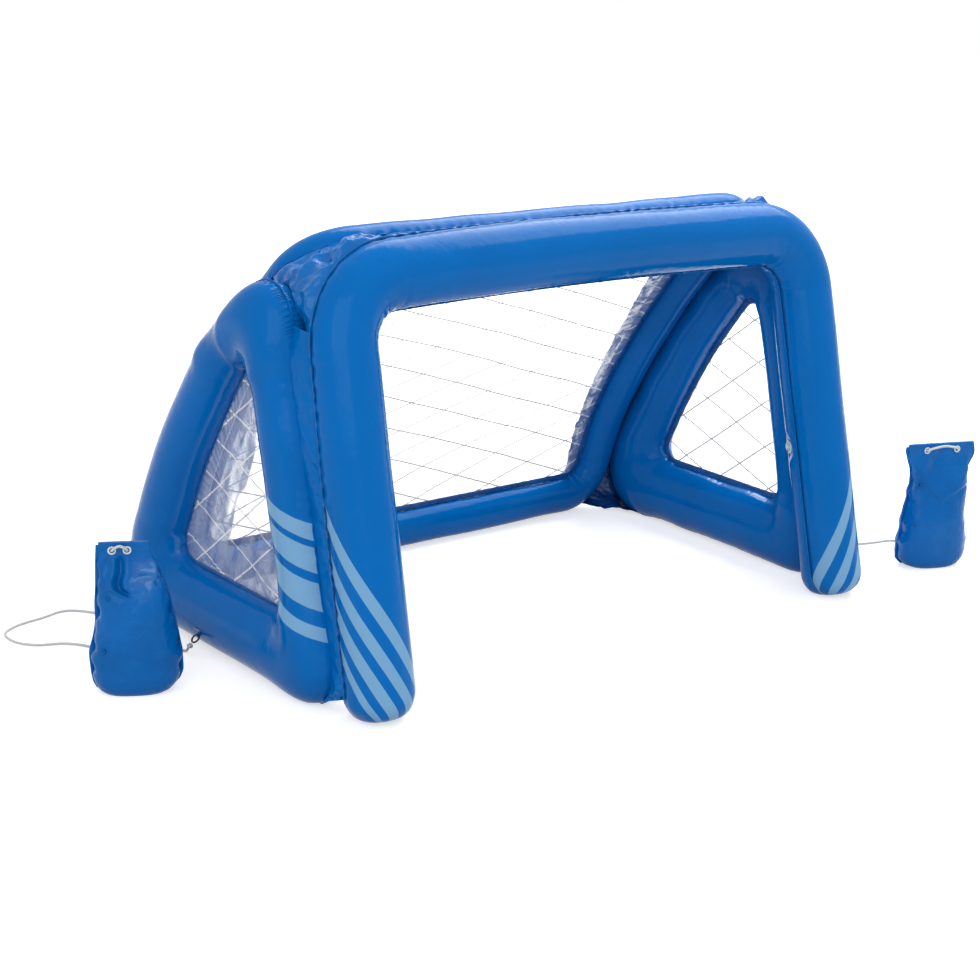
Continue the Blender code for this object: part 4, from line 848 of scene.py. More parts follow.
def webs(arch_seam, back_seam, sides, painted_shade_material, blue, plain):
    band("top_sheet", top_stretch(arch_seam, 0.60), top_stretch(back_seam, 0.70), -0.002, 0.0034, 0.015,
         101, blue, ("top_web",), toward=(0, 0, 1))
    for name, sign in (("left", -1), ("right", 1)):
        line, outward, skin, faces, smooth_skin = sides[name]
        corner_drape(name, sign, skin, faces, blue)
        legs = upward(arch_seam[(np.sign(arch_seam[:, 0]) == sign) & (arch_seam[:, 2] < 0.66)])
        edge = upward(line[outward[:, 1] < -0.5])
        heights = np.linspace(0.012, 0.665, 340)
        # The web's far edge lies beside the side frame's seam, furthest from it at half height
        wrap = (0.965 - 0.045 * ease(heights, 0.34, 0.46) + 0.07 * ease(heights, 0.60, 0.66)) * math.pi
        index = np.interp(heights, edge[:, 2], np.arange(len(edge)))
        rows_at = np.unwrap(ring_rows(line, edge), period=len(line))
        band(name + "_front_sheet", at_heights(legs, heights), lap(smooth_skin, rows_at, index, wrap),
             -0.0010 * sign, 0.0030, 0.020, 121 + sign, plain,
             (name + "_front_web", name + "_front_gusset"), None, 30, None, True)
        back = back_seam[np.sign(back_seam[:, 0]) == sign]
        across = np.abs(back[:, 0])
        rear = upward(back[across > 0.575])
        edge = upward(line[(outward[:, 1] > 0.25) & (line[:, 2] > 0.02)])
        corner = back[(back[:, 1] > 0.60) & (back[:, 2] < 0.20) & (across > 0.50)]
        corner = corner[np.argsort(-corner[:, 2] + 0.8 * (0.60 - np.abs(corner[:, 0])))]
        heel = line[(line[:, 1] > 0.56) & (line[:, 2] < 0.20) & (outward[:, 2] < 0.9)]
        heel = heel[np.argsort(-heel[:, 2] - heel[:, 1] * 0.6)]
        # The floor sheet is painted darker navy: painted shade in the crease between the back and the side
        # frame
        band(name + "_floor_sheet", even(corner, 90), even(heel, 90), 0.004 * sign, 0.0070, 0.022,
             141 + sign, painted_shade_material, (name + "_floor_gusset",))
        # Both edges start at one height, and the side frame's edge ends higher than the back's
        start, back_end, side_end = 0.16, 0.70, 0.733
        heights = np.linspace(start, back_end, 300)
        beside = start + (heights - start) * (side_end - start) / (back_end - start)
        band(name + "_rear_sheet", at_heights(rear, heights), at_heights(edge, beside), 0.003 * sign,
             0.0030, 0.018, 131 + sign, plain, (name + "_rear_web",))


# Cords

# Points of the cord on the floor, outward and back from the knot; only the first lies at the fall's height
LEFT_FLOOR = ((0.0000, 0.016), (0.0080, 0.046), (0.0150, 0.095), (0.0170, 0.155), (0.0230, 0.220),
              (0.0420, 0.282), (0.0850, 0.326), (0.1410, 0.316), (0.2000, 0.304), (0.2370, 0.278),
              (0.2400, 0.232), (0.2150, 0.196), (0.1650, 0.172), (0.1340, 0.130), (0.1290, 0.080),
              (0.1340, 0.030))
RIGHT_FLOOR = ((0.0000, 0.016), (0.0080, 0.050), (0.0360, 0.090), (0.0760, 0.094), (0.0980, 0.060),
               (0.0940, 0.010), (0.0780, -0.045), (0.0660, -0.100), (0.0780, -0.152), (0.1120, -0.204),
               (0.1620, -0.246), (0.2110, -0.263), (0.2500, -0.272), (0.2690, -0.298), (0.2690, -0.332))
CORD_FALL_HEIGHT = 0.0048
CORD_FLOOR_HEIGHT = 0.0030
# Points up the back of the bag, back and up
UP_BAG = ((0.0730, 0.0030), (0.0610, 0.0042), (0.0535, 0.0120), (0.0500, 0.0300), (0.0496, 0.0500),
          (0.0496, 0.1000), (0.0455, 0.1557), (0.0390, 0.1950), (0.0350, 0.2200), (0.0340, 0.2400),
          (0.0312, 0.2560))
KNOT = np.array((0.71344, 0.435, 0.0202))
CORD_RADIUS = 0.0025
BAG_HEIGHT = 0.278
EYE_HEIGHT = 0.264525
# Points of the bight: share of the way to a grommet, depth in front and rise
BIGHT = ((-1.0, 0.9, 0.0), (-0.72, 1.5, 0.55), (0.0, 1.7, 1.0), (0.72, 1.5, 0.55), (1.0, 0.9, 0.0))
BAGS = {"left": dict(sign=-1, place=(-0.880, 0.355), turn=-27, shift=-0.018, reach=0.013),
        "right": dict(sign=1, place=(0.918, 0.014), turn=-20, shift=-0.002, reach=0.037)}


def bag_frame(side):
    turn = math.radians(BAGS[side]["turn"])
    cos, sin = math.cos(turn), math.sin(turn)
    return np.array(((cos, -sin, 0), (sin, cos, 0), (0, 0, 1))), np.array((*BAGS[side]["place"], 0.0))


def to_world(side, points):
    turn, place = bag_frame(side)
    return np.asarray(points, float) @ turn.T + place


def sweep(path, radius, sides, closed=False):
    # A round tube along a path; radius may differ from point to point
    way = slopes(path, closed)
    side = unit(np.cross(way[0], (0.31, 0.17, 0.93)))
    frames = []
    for step in way:
        side = unit(side - step * (side @ step))
        frames.append(side)
    side = np.array(frames)
    if closed:
        other = np.cross(way[0], side[0])
        twist = math.atan2(side[-1] @ other, side[-1] @ side[0])
        back = -twist * np.linspace(0, 1, len(path))[:, None]
        side = side * np.cos(back) + np.cross(way, side) * np.sin(back)
    up = np.cross(way, side)
    ring = circles(spokes(sides), side, up)
    radius = np.broadcast_to(np.asarray(radius, float), (len(path),))
    return path[:, None] + ring * radius[:, None, None]


def cord_piece(name, path, body, material, stands_for):
    sides = 14
    points = sweep(path, CORD_RADIUS, sides)
    # The last column lies on the first, so that the braid's pattern closes
    points = np.concatenate([points, points[:, :1]], 1)
    values = {"run": distances(path)[:, None], "around": np.arange(sides + 1) / sides}
    return piece(name, points, grid_faces(len(path), sides + 1), body, material, values, stands_for)


def cords(material):
    for side, floor in (("left", LEFT_FLOOR), ("right", RIGHT_FLOOR)):
        data = BAGS[side]
        sign, shift, reach = data["sign"], data["shift"], data["reach"]
        body = side + "_anchor"
        knot = KNOT * (sign, 1, 1)
        behind = 0.0050 + 0.0012 + CORD_RADIUS
        ends = to_world(side, [(shift - reach, behind, EYE_HEIGHT), (shift + reach, behind, EYE_HEIGHT)])
        front = to_world(side, [(shift + reach * share, -behind * deep, EYE_HEIGHT + 0.010 * up)
                                for share, deep, up in BIGHT])
        bight = smooth([ends[0], *front, ends[1]], 90)
        cord_piece(side + "_bight_braid", bight, body, material, (side + "_bight",))
        heights = [CORD_FALL_HEIGHT] + [CORD_FLOOR_HEIGHT] * (len(floor) - 1)
        route = [knot + (sign * outward, back, height - knot[2])
                 for (outward, back), height in zip(floor, heights)]
        route += list(to_world(side, [(shift + reach, back, rise) for back, rise in UP_BAG]))
        start = knot + unit(route[0] - knot) * 0.0065
        outward = unit(ends[1] - front[-1])
        finish = ends[1] + outward * 0.0003
        rough = smooth([start, *route, finish + outward * 0.0135, finish], 80)
        path = smooth(rough, 620)
        path[:, 2] = np.maximum(path[:, 2], CORD_RADIUS + FLOOR)
        tube = cord_piece(side + "_cord_braid", path, body, material, (side + "_cord",))


# Materials

class Shade:
    # A socket in shader arithmetic
    def __init__(self, nodes, socket):
        self.nodes = nodes
        self.socket = socket

    def math(self, operation, *others):
        return self.nodes.node("Math", {"operation": operation}, dict(enumerate((self, *others))))

    def __add__(self, other):
        return self.math("ADD", other)

    def __sub__(self, other):
        return self.math("SUBTRACT", other)

    def __rsub__(self, other):
        return self.nodes.node("Math", {"operation": "SUBTRACT"}, {0: other, 1: self})

    def __mul__(self, other):
        return self.math("MULTIPLY", other)

    __radd__ = __add__
    __rmul__ = __mul__

    def above(self, low, high):
        # Smooth step from low to high
        return self.nodes.node("MapRange", {"interpolation_type": "SMOOTHSTEP"},
                               {"Value": self, "From Min": low, "From Max": high}, "Result")

    def most(self, other):
        return self.math("MAXIMUM", other)


class Nodes:
    # A node tree whose nodes are made by one method
    def __init__(self, tree):
        self.tree = tree

    def node(self, kind, settings=None, sockets=None, out=0):
        # Settings come first, then each socket's value or link; gives back the socket named out
        node = self.tree.nodes.new("ShaderNode" + kind)
        for key, value in (settings or {}).items():
            setattr(node, key, value)
        for key, value in (sockets or {}).items():
            if isinstance(value, Shade):
                self.tree.links.new(value.socket, node.inputs[key])
            else:
                node.inputs[key].default_value = value
        return Shade(self, node.outputs[out]) if node.outputs else None

    def seen(self):
        # 1 for rays that come straight, mirrored or through clear film from the camera
        straight, mirrored, through = (self.node("LightPath", out="Is %s Ray" % kind)
                                       for kind in ("Camera", "Glossy", "Transmission"))
        return straight.most(mirrored).most(through)


class Finish(Nodes):
    # One material and its nodes
    def __init__(self, name, roughness, specular=0.5):
        self.material = bpy.data.materials.new(name)
        self.material.use_nodes = True
        super().__init__(self.material.node_tree)
        self.shader = self.tree.nodes["Principled BSDF"].inputs
        self.shader["Roughness"].default_value = roughness
        self.shader["Specular IOR Level"].default_value = specular
        self.shader["Coat Roughness"].default_value = 0.08

    def read(self, name):
        return self.node("Attribute", {"attribute_name": name}, out="Fac")

    def noise(self, scale, detail=3.0, roughness=0.5, distortion=0.0):
        place = self.node("TexCoord", out="Object")
        return self.node("TexNoise", {}, {"Vector": place, "Scale": scale, "Detail": detail,
                                          "Roughness": roughness, "Distortion": distortion}, "Fac")

    def blend(self, share, first, second):
        # From the first colour to the second
        ends = [end if isinstance(end, Shade) else (*end, 1.0) for end in (first, second)]
        return self.node("Mix", {"data_type": "RGBA"}, {0: share, 6: ends[0], 7: ends[1]}, 2)

    def use(self, name, value):
        self.tree.links.new(value.socket, self.shader[name])

    def bump(self, *layers):
        # Layers are (height, distance in metres)
        under = {}
        for height, distance in layers:
            sockets = {"Height": height, "Distance": distance, "Strength": 1.0, **under}
            normal = self.node("Bump", {}, sockets)
            under = {"Normal": normal}
        self.use("Normal", normal)


def darker(colour, share):
    return tuple(part * share for part in colour)


BLUE = (0.0004, 0.126, 0.430)
PALE = (0.165, 0.345, 0.555)
# A darker copy of the blue vinyl: painted shade for the floor sheets in the back corners' creases
PAINTED_SHADE_NAVY = (0.0050, 0.055, 0.235)
# Half width of a printed band's soft edge
BAND_EDGE = 0.0008
# Low and high edges of the printed bands on the legs and on the side frames
ARCH_BANDS = ((0.309, 0.350), (0.229, 0.269), (0.152, 0.195), (0.088, 0.118))
SIDE_BANDS = ((0.304, 0.333), (0.248, 0.292), (0.183, 0.231), (0.1325, 0.156))


def vinyl(name, colour, bands=(), printed_on=None, wrinkle=0.0005, shine=0.065, relief=None, coat=None):
    finish = Finish(name, 0.10, shine)
    if coat:
        finish.use("Coat Weight", coat(finish))
    cloud = finish.noise(4.5, 3.0, 0.55)
    shade = finish.blend(cloud.above(0.35, 0.70), colour, darker(colour, 0.90))
    if bands:
        height = finish.read("stripe") + (finish.noise(60.0, 2.0) - 0.5) * 0.0016
        total = None
        for low, high in bands:
            one = (height.above(low - BAND_EDGE, low + BAND_EDGE)
                   * height.above(high + BAND_EDGE, high - BAND_EDGE))
            total = one if total is None else total.most(one)
        shade = finish.blend(total * printed_on(finish), shade, PALE)
    # Dark along the welds; on the foot sheets also dark on the crumples near the floor, as painted shade
    seam = finish.read("seam").above(0.0, 0.003)
    finish.use("Base Color", finish.blend(seam, darker(colour, 0.40), shade))
    finish.use("Roughness", finish.noise(30.0, 4.0).above(0.2, 0.9) * 0.05 + 0.07)
    layers = [(finish.noise(26.0, 3.0, 0.55, 0.6), wrinkle * 2.2),
              (finish.noise(95.0, 4.0, 0.6, 1.0), wrinkle * 0.55), (finish.noise(900.0, 2.0), 0.00003)]
    if relief:
        layers.append(relief(finish))
    finish.bump(*layers)
    return finish.material


def vinyl_bag():
    finish = Finish("bag_vinyl_creased", 0.10, 0.08)
    cloud = finish.noise(9.0, 3.0, 0.6).above(0.30, 0.75)
    finish.use("Base Color", finish.blend(cloud, (0.0004, 0.120, 0.410), (0.0003, 0.098, 0.345)))
    finish.use("Coat Weight", finish.read("gloss") * 0.75 + 0.06)
    finish.use("Roughness", finish.noise(50.0, 4.0).above(0.2, 0.9) * 0.14 + 0.10)
    finish.bump((finish.noise(34.0, 4.0, 0.6, 1.2), 0.0026), (finish.noise(120.0, 4.0, 0.6, 0.8), 0.0005),
                (finish.noise(900.0, 2.0), 0.00004))
    return finish.material


def clear_film():
    finish = Finish("clear_film_net", 0.12, 0.5)
    line = None
    for name, spacing in (("net_a", 0.0776), ("net_b", 0.0790)):
        near = (finish.read(name) + 0.5).math("FRACT") - 0.5
        far = near.math("ABSOLUTE") * spacing
        one = far.above(0.0021, 0.0013)
        line = one if line is None else line.most(one)
    ink = line * (finish.noise(160.0, 3.0).above(0.20, 0.42) * 0.35 + 0.65)
    fog_and_painted_reflection = finish.read("fog_and_painted_reflection")
    # Tone of the film: pale where clear, grey-lavender where the value is high, which on the left film is
    # painted reflection
    shade = finish.blend(fog_and_painted_reflection.above(0.15, 0.50), (0.66, 0.70, 0.78), (0.36, 0.365, 0.44))
    # The strip's bluish tone: on the left film painted reflection, on the back film a nearly opaque band
    # along the right edge
    shade = finish.blend(finish.read("strip"), shade, (0.150, 0.225, 0.430))
    # The white print is painted grey where the film is clear and lighter where the film value is high:
    # painted shade on the white ink
    ink_with_painted_shade = finish.blend(fog_and_painted_reflection.above(0.15, 0.35), (0.33, 0.325, 0.32), (0.66, 0.67, 0.70))
    finish.use("Base Color", finish.blend(ink, shade, ink_with_painted_shade))
    crinkle = finish.noise(38.0, 5.0, 0.62, 1.4)
    alpha = fog_and_painted_reflection * (crinkle.above(0.25, 0.80) * 0.40 + 0.82)
    finish.use("Alpha", alpha.most(ink * 0.93))
    finish.bump((crinkle, 0.0022), (finish.noise(120.0, 4.0, 0.6, 0.8), 0.0004), (ink, 0.00012))
    return finish.material


def weld(name, colour):
    finish = Finish(name, 0.30, 0.40)
    cloud = finish.noise(40.0, 4.0, 0.6, 0.6)
    finish.use("Base Color", finish.blend(cloud.above(0.30, 0.75), colour, darker(colour, 0.55)))
    finish.use("Roughness", finish.noise(60.0, 3.0) * 0.20 + 0.20)
    finish.bump((finish.noise(70.0, 4.0, 0.62, 1.2), 0.0016), (finish.noise(320.0, 3.0), 0.0002))
    return finish.material


def braid():
    finish = Finish("braided_cord", 0.78, 0.20)
    run, around = finish.read("run"), finish.read("around")
    turns = run * (2 * math.pi / 0.0052)
    wrap = around * (2 * math.pi * 4)
    over = (turns + wrap).math("SINE") * 0.5 + 0.5
    under = (turns - wrap).math("SINE") * 0.5 + 0.5
    strands = over.most(under)
    # The valleys between the strands are painted darker grey: painted shade between the strands
    colour = finish.blend(strands.above(0.45, 0.95), (0.40, 0.41, 0.42), (0.70, 0.70, 0.69))
    soiled = finish.noise(14.0, 3.0).above(0.35, 0.8)
    finish.use("Base Color", finish.blend(soiled, colour, (0.62, 0.62, 0.61)))
    finish.bump((strands, 0.0007), (finish.noise(900.0, 3.0), 0.00015))
    return finish.material


def moulded(name, colour, roughness, grain=0.00008):
    finish = Finish(name, roughness, 0.45)
    cloud = finish.noise(120.0, 3.0)
    finish.use("Base Color", finish.blend(cloud.above(0.3, 0.8), colour, darker(colour, 0.86)))
    finish.use("Roughness", finish.noise(300.0, 2.0) * 0.12 + (roughness - 0.04))
    finish.bump((finish.noise(700.0, 3.0), grain))
    return finish.material


# Bags, grommets, rings, knots and valves

# Height share, left edge, right edge and half depth of each bag
BAG_OUTLINES = {
    "left": ((0.000, -0.046, 0.058, 0.030), (0.020, -0.056, 0.070, 0.037), (0.070, -0.064, 0.081, 0.042),
             (0.130, -0.067, 0.086, 0.045), (0.270, -0.068, 0.087, 0.046), (0.400, -0.062, 0.080, 0.046),
             (0.500, -0.058, 0.073, 0.043), (0.640, -0.057, 0.065, 0.035), (0.770, -0.057, 0.055, 0.021),
             (0.860, -0.056, 0.044, 0.009), (0.920, -0.055, 0.037, 0.0046), (1.000, -0.054, 0.032, 0.0046)),
    "right": ((0.000, -0.050, 0.052, 0.030), (0.020, -0.068, 0.064, 0.037), (0.070, -0.082, 0.076, 0.042),
              (0.130, -0.086, 0.081, 0.045), (0.270, -0.084, 0.077, 0.046), (0.400, -0.079, 0.068, 0.046),
              (0.560, -0.074, 0.068, 0.038), (0.720, -0.069, 0.068, 0.024), (0.820, -0.072, 0.069, 0.011),
              (0.880, -0.081, 0.077, 0.0048), (0.920, -0.082, 0.078, 0.0046), (1.000, -0.083, 0.079, 0.0046)),
}


def bag_outline(side, share):
    # Left edge, right edge and half depth of a bag at shares of its height
    table = np.array(BAG_OUTLINES[side])
    return [np.interp(share, table[:, 0], table[:, column]) for column in (1, 2, 3)]


def bag(side, material):
    rows, sides = 230, 240
    share = np.linspace(0, 1, rows)
    left, right, half_depth = (soft(values, 9) for values in bag_outline(side, share))
    angle = spokes(sides)
    seed = 200 if side == "left" else 240
    full = ease(half_depth, 0.006, 0.030)
    power = (0.58 + 0.24 * full)[:, None]
    cosine = np.sign(np.cos(angle)) * np.abs(np.cos(angle)) ** 0.72
    across = (left + right)[:, None] / 2 + cosine[None] * ((right - left) / 2)[:, None]
    behind = np.sign(np.sin(angle)) * np.abs(np.sin(angle)) ** power * half_depth[:, None]
    share = share[:, None]
    rise = BAG_HEIGHT * share
    base = np.stack([across, behind, rise + 0 * across], -1)
    normal = unit(np.cross(np.roll(base, -1, 1) - np.roll(base, 1, 1), np.gradient(base, axis=0)))
    body = ease(share, 0.03, 0.16) * (1 - ease(share, 0.82, 0.90))
    edge = np.abs(np.sin(angle))[None] + 0 * across
    facing = np.sin(angle)[None] < 0
    flat = ease(edge, 0.15, 0.6)
    lift = creases(base, 0.085, seed + 1) * 0.0042 * body * flat
    lift += creases(base, 0.034, seed + 2) * 0.0013 * body * flat
    # Gathers fan out from the grommets
    off_middle = across - BAGS[side]["shift"]
    fan = ripples(off_middle / (1.02 - share), 0.36, seed + 3)
    fan = fan * ease(share, 0.50, 0.80) * (1 - ease(share, 0.93, 0.97))
    lift += fan * 0.0028 * groove(off_middle, 0.050) * (1 - 0.7 * ease(share, 0.88, 0.93))
    if side == "left":
        # One deep hooked fold under the grommets
        low = rise - 0.205
        bend = across + 0.016 + 0.006 * groove(low - 0.004, 0.013) - 0.015 * ease(-low, 0.004, 0.020)
        reach = ease(low, -0.022, -0.008) * (1 - ease(low, 0.040, 0.052))
        lift -= 0.0120 * groove(bend, 0.0068) * reach * facing
        lift += 0.0050 * groove(bend + 0.013, 0.0060) * reach * facing
        gloss = np.exp(-((across - 0.026) / 0.024) ** 4) * np.exp(-((share - 0.79) / 0.085) ** 4)
        lift += creases(base, 0.016, seed + 5, 4) * 0.0040 * gloss
    else:
        # Two slanting folds that meet at the bag's middle
        for slope, height, side_of in ((1.13, 0.147, -1), (-0.54, 0.157, 1)):
            fold = across * slope + rise - height
            fold = fold + creases(base, 0.045, seed + 9) * 0.0035
            fade = ease(across * side_of, -0.010, 0.014) * groove(fold, 0.022) * flat * facing
            uneven = 0.6 + 0.4 * creases(base, 0.03, seed + 11)
            lift -= 0.0042 * ease(-fold, -0.004, 0.005) * fade * uneven
        gloss = 0.6 * (1 - ease(edge, 0.10, 0.55)) * body
    lift += ripples(rise, 0.050, seed + 4) * 0.0016 * (1 - flat) * body
    points = base + normal * lift[..., None]
    points[..., 2] = points[..., 2].clip(FLOOR, BAG_HEIGHT)
    bottom = [np.stack([across[0] * size, behind[0] * size, 0 * across[0] + FLOOR], -1)
              for size in (0.15, 0.45, 0.75, 0.92)]
    lids = [points[-1] * (1, level, 1) for level in (0.5, 0.02)]
    gloss = np.vstack([np.zeros((len(bottom), sides)), gloss, np.zeros((len(lids), sides))])
    grid = to_world(side, np.concatenate([bottom, points, lids], 0))
    points, faces, values = capped(grid, (0,), False, {"gloss": gloss})
    piece(side + "_water_bag", points, faces, side + "_anchor", material, values, (side + "_bag",))
    # Welded flanges down both sides
    thick = np.array((0.0, 0.0006, 0.0))
    for number, column, way in (("one", 0, 1.0), ("two", sides // 2, -1.0)):
        line = base[6:rows - 4, column]
        out = np.array((way, 0.0, 0.0))
        wave = ripples(line[:, 2], 0.045, seed + 6 + column)[:, None] * np.array((0.0, 1.0, 0.0)) * 0.0016
        wide = 0.0040 + 0.0010 * ripples(line[:, 2], 0.08, seed + 8 + column)[:, None]
        lines = [line - out * 0.006, line + out * wide * 0.5 + wave * 0.5, line + out * wide + wave]
        grid = np.stack([row + thick for row in lines] + [row - thick for row in lines[::-1]], 1)
        faces = grid_faces(len(line), 6, close_columns=True)
        piece(side + "_bag_flange_" + number, to_world(side, grid), faces, side + "_anchor", material)


def drains(side, where, material):
    # Small pressed drain dots with a ring around them
    profile = [(0.0044, -0.006), (0.0044, 0.0010), (0.0036, 0.0014), (0.0029, 0.0009), (0.0022, -0.0006),
               (0.0010, -0.0008), (0.0004, -0.0008), (0.0004, -0.004)]
    turn = bag_frame(side)[0]
    for number, (across, height) in enumerate(where):
        left, right, deep = bag_outline(side, height / BAG_HEIGHT)
        off_middle = across - (left + right) / 2
        share = np.clip(abs(off_middle) / ((right - left) / 2), 0, 0.98) ** (1 / 0.72)
        front = -deep * (1 - share ** 2) ** 0.41 - 0.0030
        aim = axes(turn @ np.array((share * 0.6 * np.sign(off_middle), -1.0, 0.05)), (0, 0, 1))
        lathe(side + "_drain_%d" % number, profile, to_world(side, (across, front, height)), aim,
              side + "_anchor", material, (), 28)


def axes(normal, toward):
    up = unit(normal)
    side = unit(np.asarray(toward, float) - up * (np.asarray(toward, float) @ up))
    return np.stack([side, np.cross(up, side), up])


def lathe(name, profile, seat, aim, body, material, stands_for, steps=56):
    # A turned piece from the (radius, height) points of its closed profile, turned round the last row of aim
    profile = np.array(profile, float)
    angle = spokes(steps)
    local = np.stack([profile[:, None, 0] * np.cos(angle), profile[:, None, 0] * np.sin(angle),
                      profile[:, None, 1] + 0 * angle], -1)
    faces = grid_faces(len(profile), steps, True, True)
    return piece(name, local @ aim + seat, faces, body, material, None, stands_for)


def soften(profile, radius):
    # Rounds the corners of a closed profile
    return rounded(profile, [radius] * len(profile), 3, True)


def small_parts(white, black, clear, cord_material):
    grommet = [(0.0075, 0.0062), (0.0075, 0.0047), (0.0056, 0.0044), (0.0056, -0.0044), (0.0075, -0.0047),
               (0.0075, -0.0062), (0.0046, -0.0062), (0.0046, 0.0062)]
    for side in ("left", "right"):
        data = BAGS[side]
        for name, where in (("outer", -1), ("inner", 1)):
            seat = to_world(side, (data["shift"] + where * data["reach"], 0.0, BAG_HEIGHT - 0.014))
            aim = axes(bag_frame(side)[0] @ np.array((0.0, -1.0, 0.0)), (0.0, 0.0, 1.0))
            lathe(side + "_grommet_" + name, soften(grommet, 0.0003), seat, aim, side + "_anchor", white,
                  (side + "_eyelet_" + name,))
        # An overhand knot's turns around the knot's core
        knot = KNOT * (data["sign"], 1, 1)
        steps, sides = 260, 12
        spin = np.linspace(0, 2 * math.pi, steps, endpoint=False)
        wide = 0.0026 + 0.0012 * np.cos(3 * spin)
        rise = 0.0026 * np.sin(3 * spin)
        winding = np.stack([wide * np.cos(2 * spin), wide * np.sin(2 * spin), rise], -1)
        values = {"run": (spin * 0.011)[:, None], "around": np.arange(sides) / sides}
        piece(side + "_knot_turns", sweep(winding, 0.0021, sides, True) + knot,
              grid_faces(steps, sides, True, True), side + "_anchor", cord_material, values,
              (side + "_knot",))
        low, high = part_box(side + "_eye_ring")
        centre = (np.array(low) + np.array(high)) / 2 + MIDDLE
        hang = unit(knot - centre)
        along = unit(np.array((0.0, 1.0, 0.0)) - hang * hang[1])
        steps, sides = 64, 16
        spin = np.linspace(0, 2 * math.pi, steps, endpoint=False)[:, None]
        ring = centre + 0.0085 * (np.cos(spin) * along + np.sin(spin) * hang)
        piece(side + "_ring_round", sweep(ring, 0.0018, sides, True), grid_faces(steps, sides, True, True),
              "goal", black, None, (side + "_eye_ring",))
    for name, data in VALVES.items():
        valve(name, data, clear)


def bar(name, outline, low, high, seat, aim, body, material):
    # A flat strip with rounded edges, its outline given in the valve's own plane
    outline = np.array(outline, float)
    inner = outline.mean(0) + (outline - outline.mean(0)) * 0.90
    edge = 0.0003
    levels = ((inner, low), (outline, low + edge), (outline, high - edge), (inner, high))
    rows = np.array([np.column_stack([ring, np.full(len(ring), level)]) for ring, level in levels])
    points, faces, _ = capped(rows @ aim + seat)
    return piece(name, points, faces, body, material)


def capsule(start, end, half):
    # Outline of a strip with half-round ends
    turn = np.linspace(-math.pi / 2, math.pi / 2, 10)
    cap = np.stack([np.cos(turn), np.sin(turn)], -1) * half
    return np.vstack([cap + (end, 0.0), -cap + (start, 0.0)])


def valve(name, data, material):
    seat, normal = np.array(data["seat"]), np.array(data["normal"])
    aim = axes(normal, np.array(data["hinge"]) - seat)
    stem, plug = name + "_valve_stem", name + "_valve_plug"
    flange = [(0.0140, 0.0011), (0.0140, -0.0024), (0.0060, -0.0024), (0.0060, 0.0017), (0.0074, 0.0017),
              (0.0082, 0.0014), (0.0112, 0.0014), (0.0119, 0.0017)]
    tube = [(0.0082, 0.0031), (0.0082, 0.0020), (0.0054, 0.0020), (0.0054, -0.0069), (0.0042, -0.0069),
            (0.0042, 0.0031)]
    head = [(0.0074, 0.0052), (0.0074, 0.0034), (0.0033, 0.0034), (0.0029, -0.0006), (0.0003, -0.0006),
            (0.0003, 0.0046), (0.0040, 0.0046), (0.0046, 0.0052)]
    lathe(name + "_flange_round", soften(flange, 0.0002), seat, aim, "goal", material,
          (name + "_valve_flange",))
    lathe(name + "_stem_round", soften(tube, 0.0003), seat, aim, stem, material, (stem,))
    bar(name + "_stem_lug", capsule(0.0068, 0.0092, 0.0023), 0.0020, 0.0031, seat, aim, stem, material)
    lathe(name + "_plug_round", soften(head, 0.00012), seat, aim, plug, material, (plug,))
    bar(name + "_plug_strap", capsule(0.0062, 0.0090, 0.0021), 0.0035, 0.0051, seat, aim, plug, material)


# Floor and lights

def stage():
    size = 14.0
    corners = [(-size, -size, 0), (size, -size, 0), (size, size, 0), (-size, size, 0)]
    mesh = bpy.data.meshes.new("floor")
    mesh.from_pydata(corners, [], [(0, 1, 2, 3)])
    floor = bpy.data.objects.new("floor", mesh)
    bpy.context.scene.collection.objects.link(floor)
    made = bpy.data.materials.new("floor")
    made.use_nodes = True
    nodes = Nodes(made.node_tree)
    nodes.tree.nodes.clear()
    place = nodes.node("NewGeometry", out="Position")
    away = nodes.node("VectorMath", {"operation": "LENGTH"}, {0: place}, "Value").above(1.3, 3.4)
    glow = nodes.node("Emission", {}, {"Strength": nodes.seen() * (away * 0.40 + 0.60),
                                       "Color": (1.0, 1.0, 1.0, 1.0)})
    paint = nodes.node("BsdfDiffuse", {}, {"Color": (0.64, 0.64, 0.64, 1.0)})
    nodes.node("OutputMaterial", {}, {"Surface": nodes.node("AddShader", {}, {0: paint, 1: glow})})
    mesh.materials.append(made)


def softbox(name, place, toward, width, depth, watts):
    # toward is a point to aim at, or the turn about Z of a lamp that faces straight down
    data = bpy.data.lights.new(name, "AREA")
    data.shape = "RECTANGLE"
    data.size = width
    data.size_y = depth
    data.energy = watts
    made = bpy.data.objects.new(name, data)
    bpy.context.scene.collection.objects.link(made)
    made.location = place
    if isinstance(toward, tuple):
        made.rotation_euler = (Vector(toward) - Vector(place)).to_track_quat("-Z", "Y").to_euler()
    else:
        made.rotation_euler = (0.0, 0.0, toward)


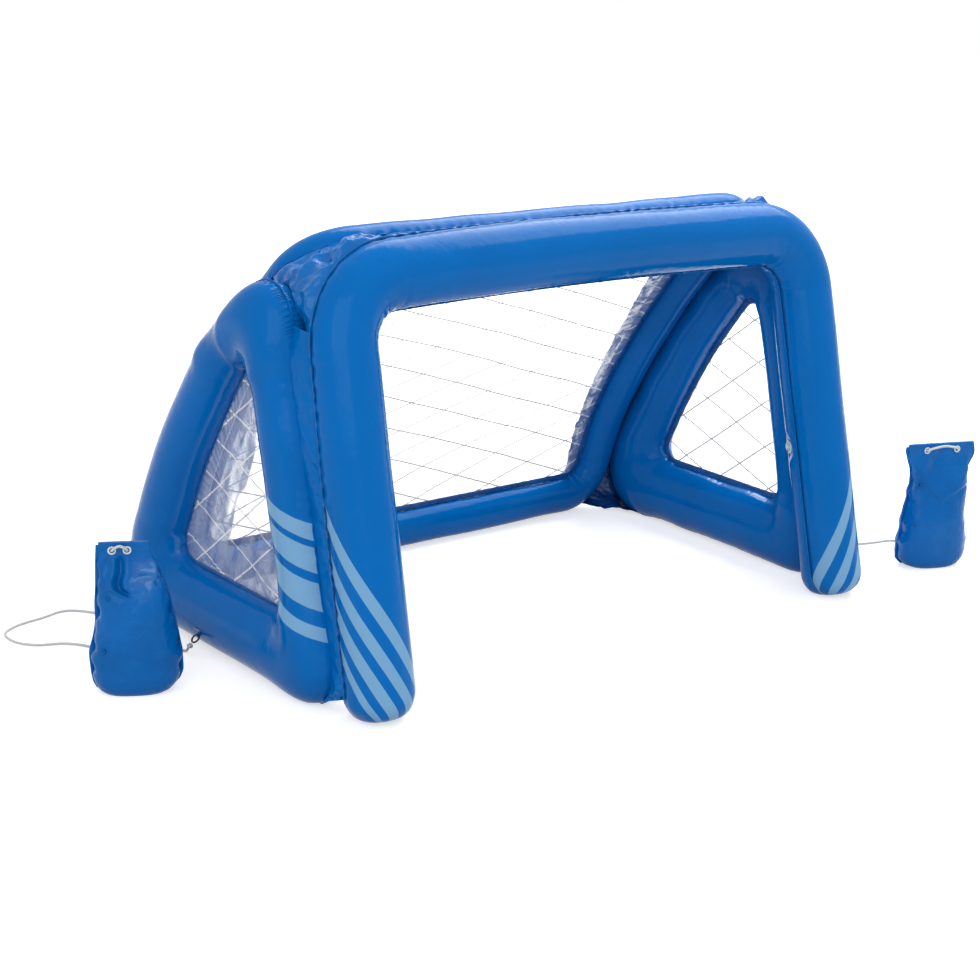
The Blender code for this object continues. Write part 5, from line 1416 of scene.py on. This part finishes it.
def lights():
    world = bpy.data.worlds.new("studio")
    bpy.context.scene.world = world
    world.use_nodes = True
    nodes = Nodes(world.node_tree)
    nodes.tree.nodes.clear()
    strength = nodes.seen() * 0.22 + 0.78
    sky = nodes.node("Background", {}, {"Color": (1.0, 1.0, 1.0, 1.0), "Strength": strength})
    nodes.node("OutputWorld", {}, {"Surface": sky})
    softbox("key", (2.65, 1.0, 3.25), math.radians(24), 3.9, 3.9, 250.0)
    softbox("fill", (-3.0, -2.6, 2.6), (0.0, 0.2, 0.4), 3.4, 3.4, 72.0)


def on_arch(finish):
    # The bands run round the leg's front, from just behind its outer side to its inner seam
    return finish.read("stripe_turn").above(-16.0, -13.0)


def on_side(finish):
    return finish.read("stripe_on").above(0.45, 0.55) * finish.read("stripe_in").above(0.009, 0.0105)


def pleats(finish):
    wave = (finish.read("pleat") * (2 * math.pi)).math("SINE")
    return wave * finish.read("pleat_on"), 0.0011


def dress():
    plain = vinyl("chamber_vinyl", BLUE)
    # The floor sheets get this darker navy vinyl: painted shade where they lie in the creases
    painted_shade_sheet = weld("painted_shade_vinyl", PAINTED_SHADE_NAVY)
    rim = weld("rim_vinyl", (0.003, 0.100, 0.360))
    sheet = vinyl("web_vinyl", BLUE, wrinkle=0.0009, shine=0.20)
    arch = vinyl("arch_vinyl", BLUE, ARCH_BANDS, on_arch)
    side = vinyl("side_vinyl", BLUE, SIDE_BANDS, on_side, relief=pleats,
                 coat=lambda finish: finish.read("rolled") * 0.6)
    bag_material = vinyl_bag()
    film = clear_film()
    cord = braid()
    cords(cord)
    arch_seam = arch_skin(arch, sheet)
    back_seam = back_skin(plain)
    sides = {name: side_skin(name, sign, side) for name, sign in (("left", -1), ("right", 1))}
    webs(arch_seam, back_seam, sides, painted_shade_sheet, sheet, plain)
    back_film(film, rim)
    side_film("left", -1, film, rim)
    side_film("right", 1, film, rim)
    for name in ("left", "right"):
        bag(name, bag_material)
    drains("left", ((-0.040, 0.184), (-0.050, 0.088)), bag_material)
    drains("right", ((-0.056, 0.190), (-0.068, 0.104)), bag_material)
    white = moulded("white_moulded", (0.66, 0.68, 0.69), 0.34)
    black = moulded("black_moulded", (0.012, 0.012, 0.014), 0.38)
    clear = moulded("valve_moulded", (0.52, 0.63, 0.70), 0.16, 0.00003)
    small_parts(white, black, clear, cord)
    for name in ("left_eye_tab", "right_eye_tab"):
        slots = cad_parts[name].data.materials
        slots.clear()
        slots.append(rim)


dress()
lights()
stage()
bpy.context.scene.view_settings.view_transform = "Standard"
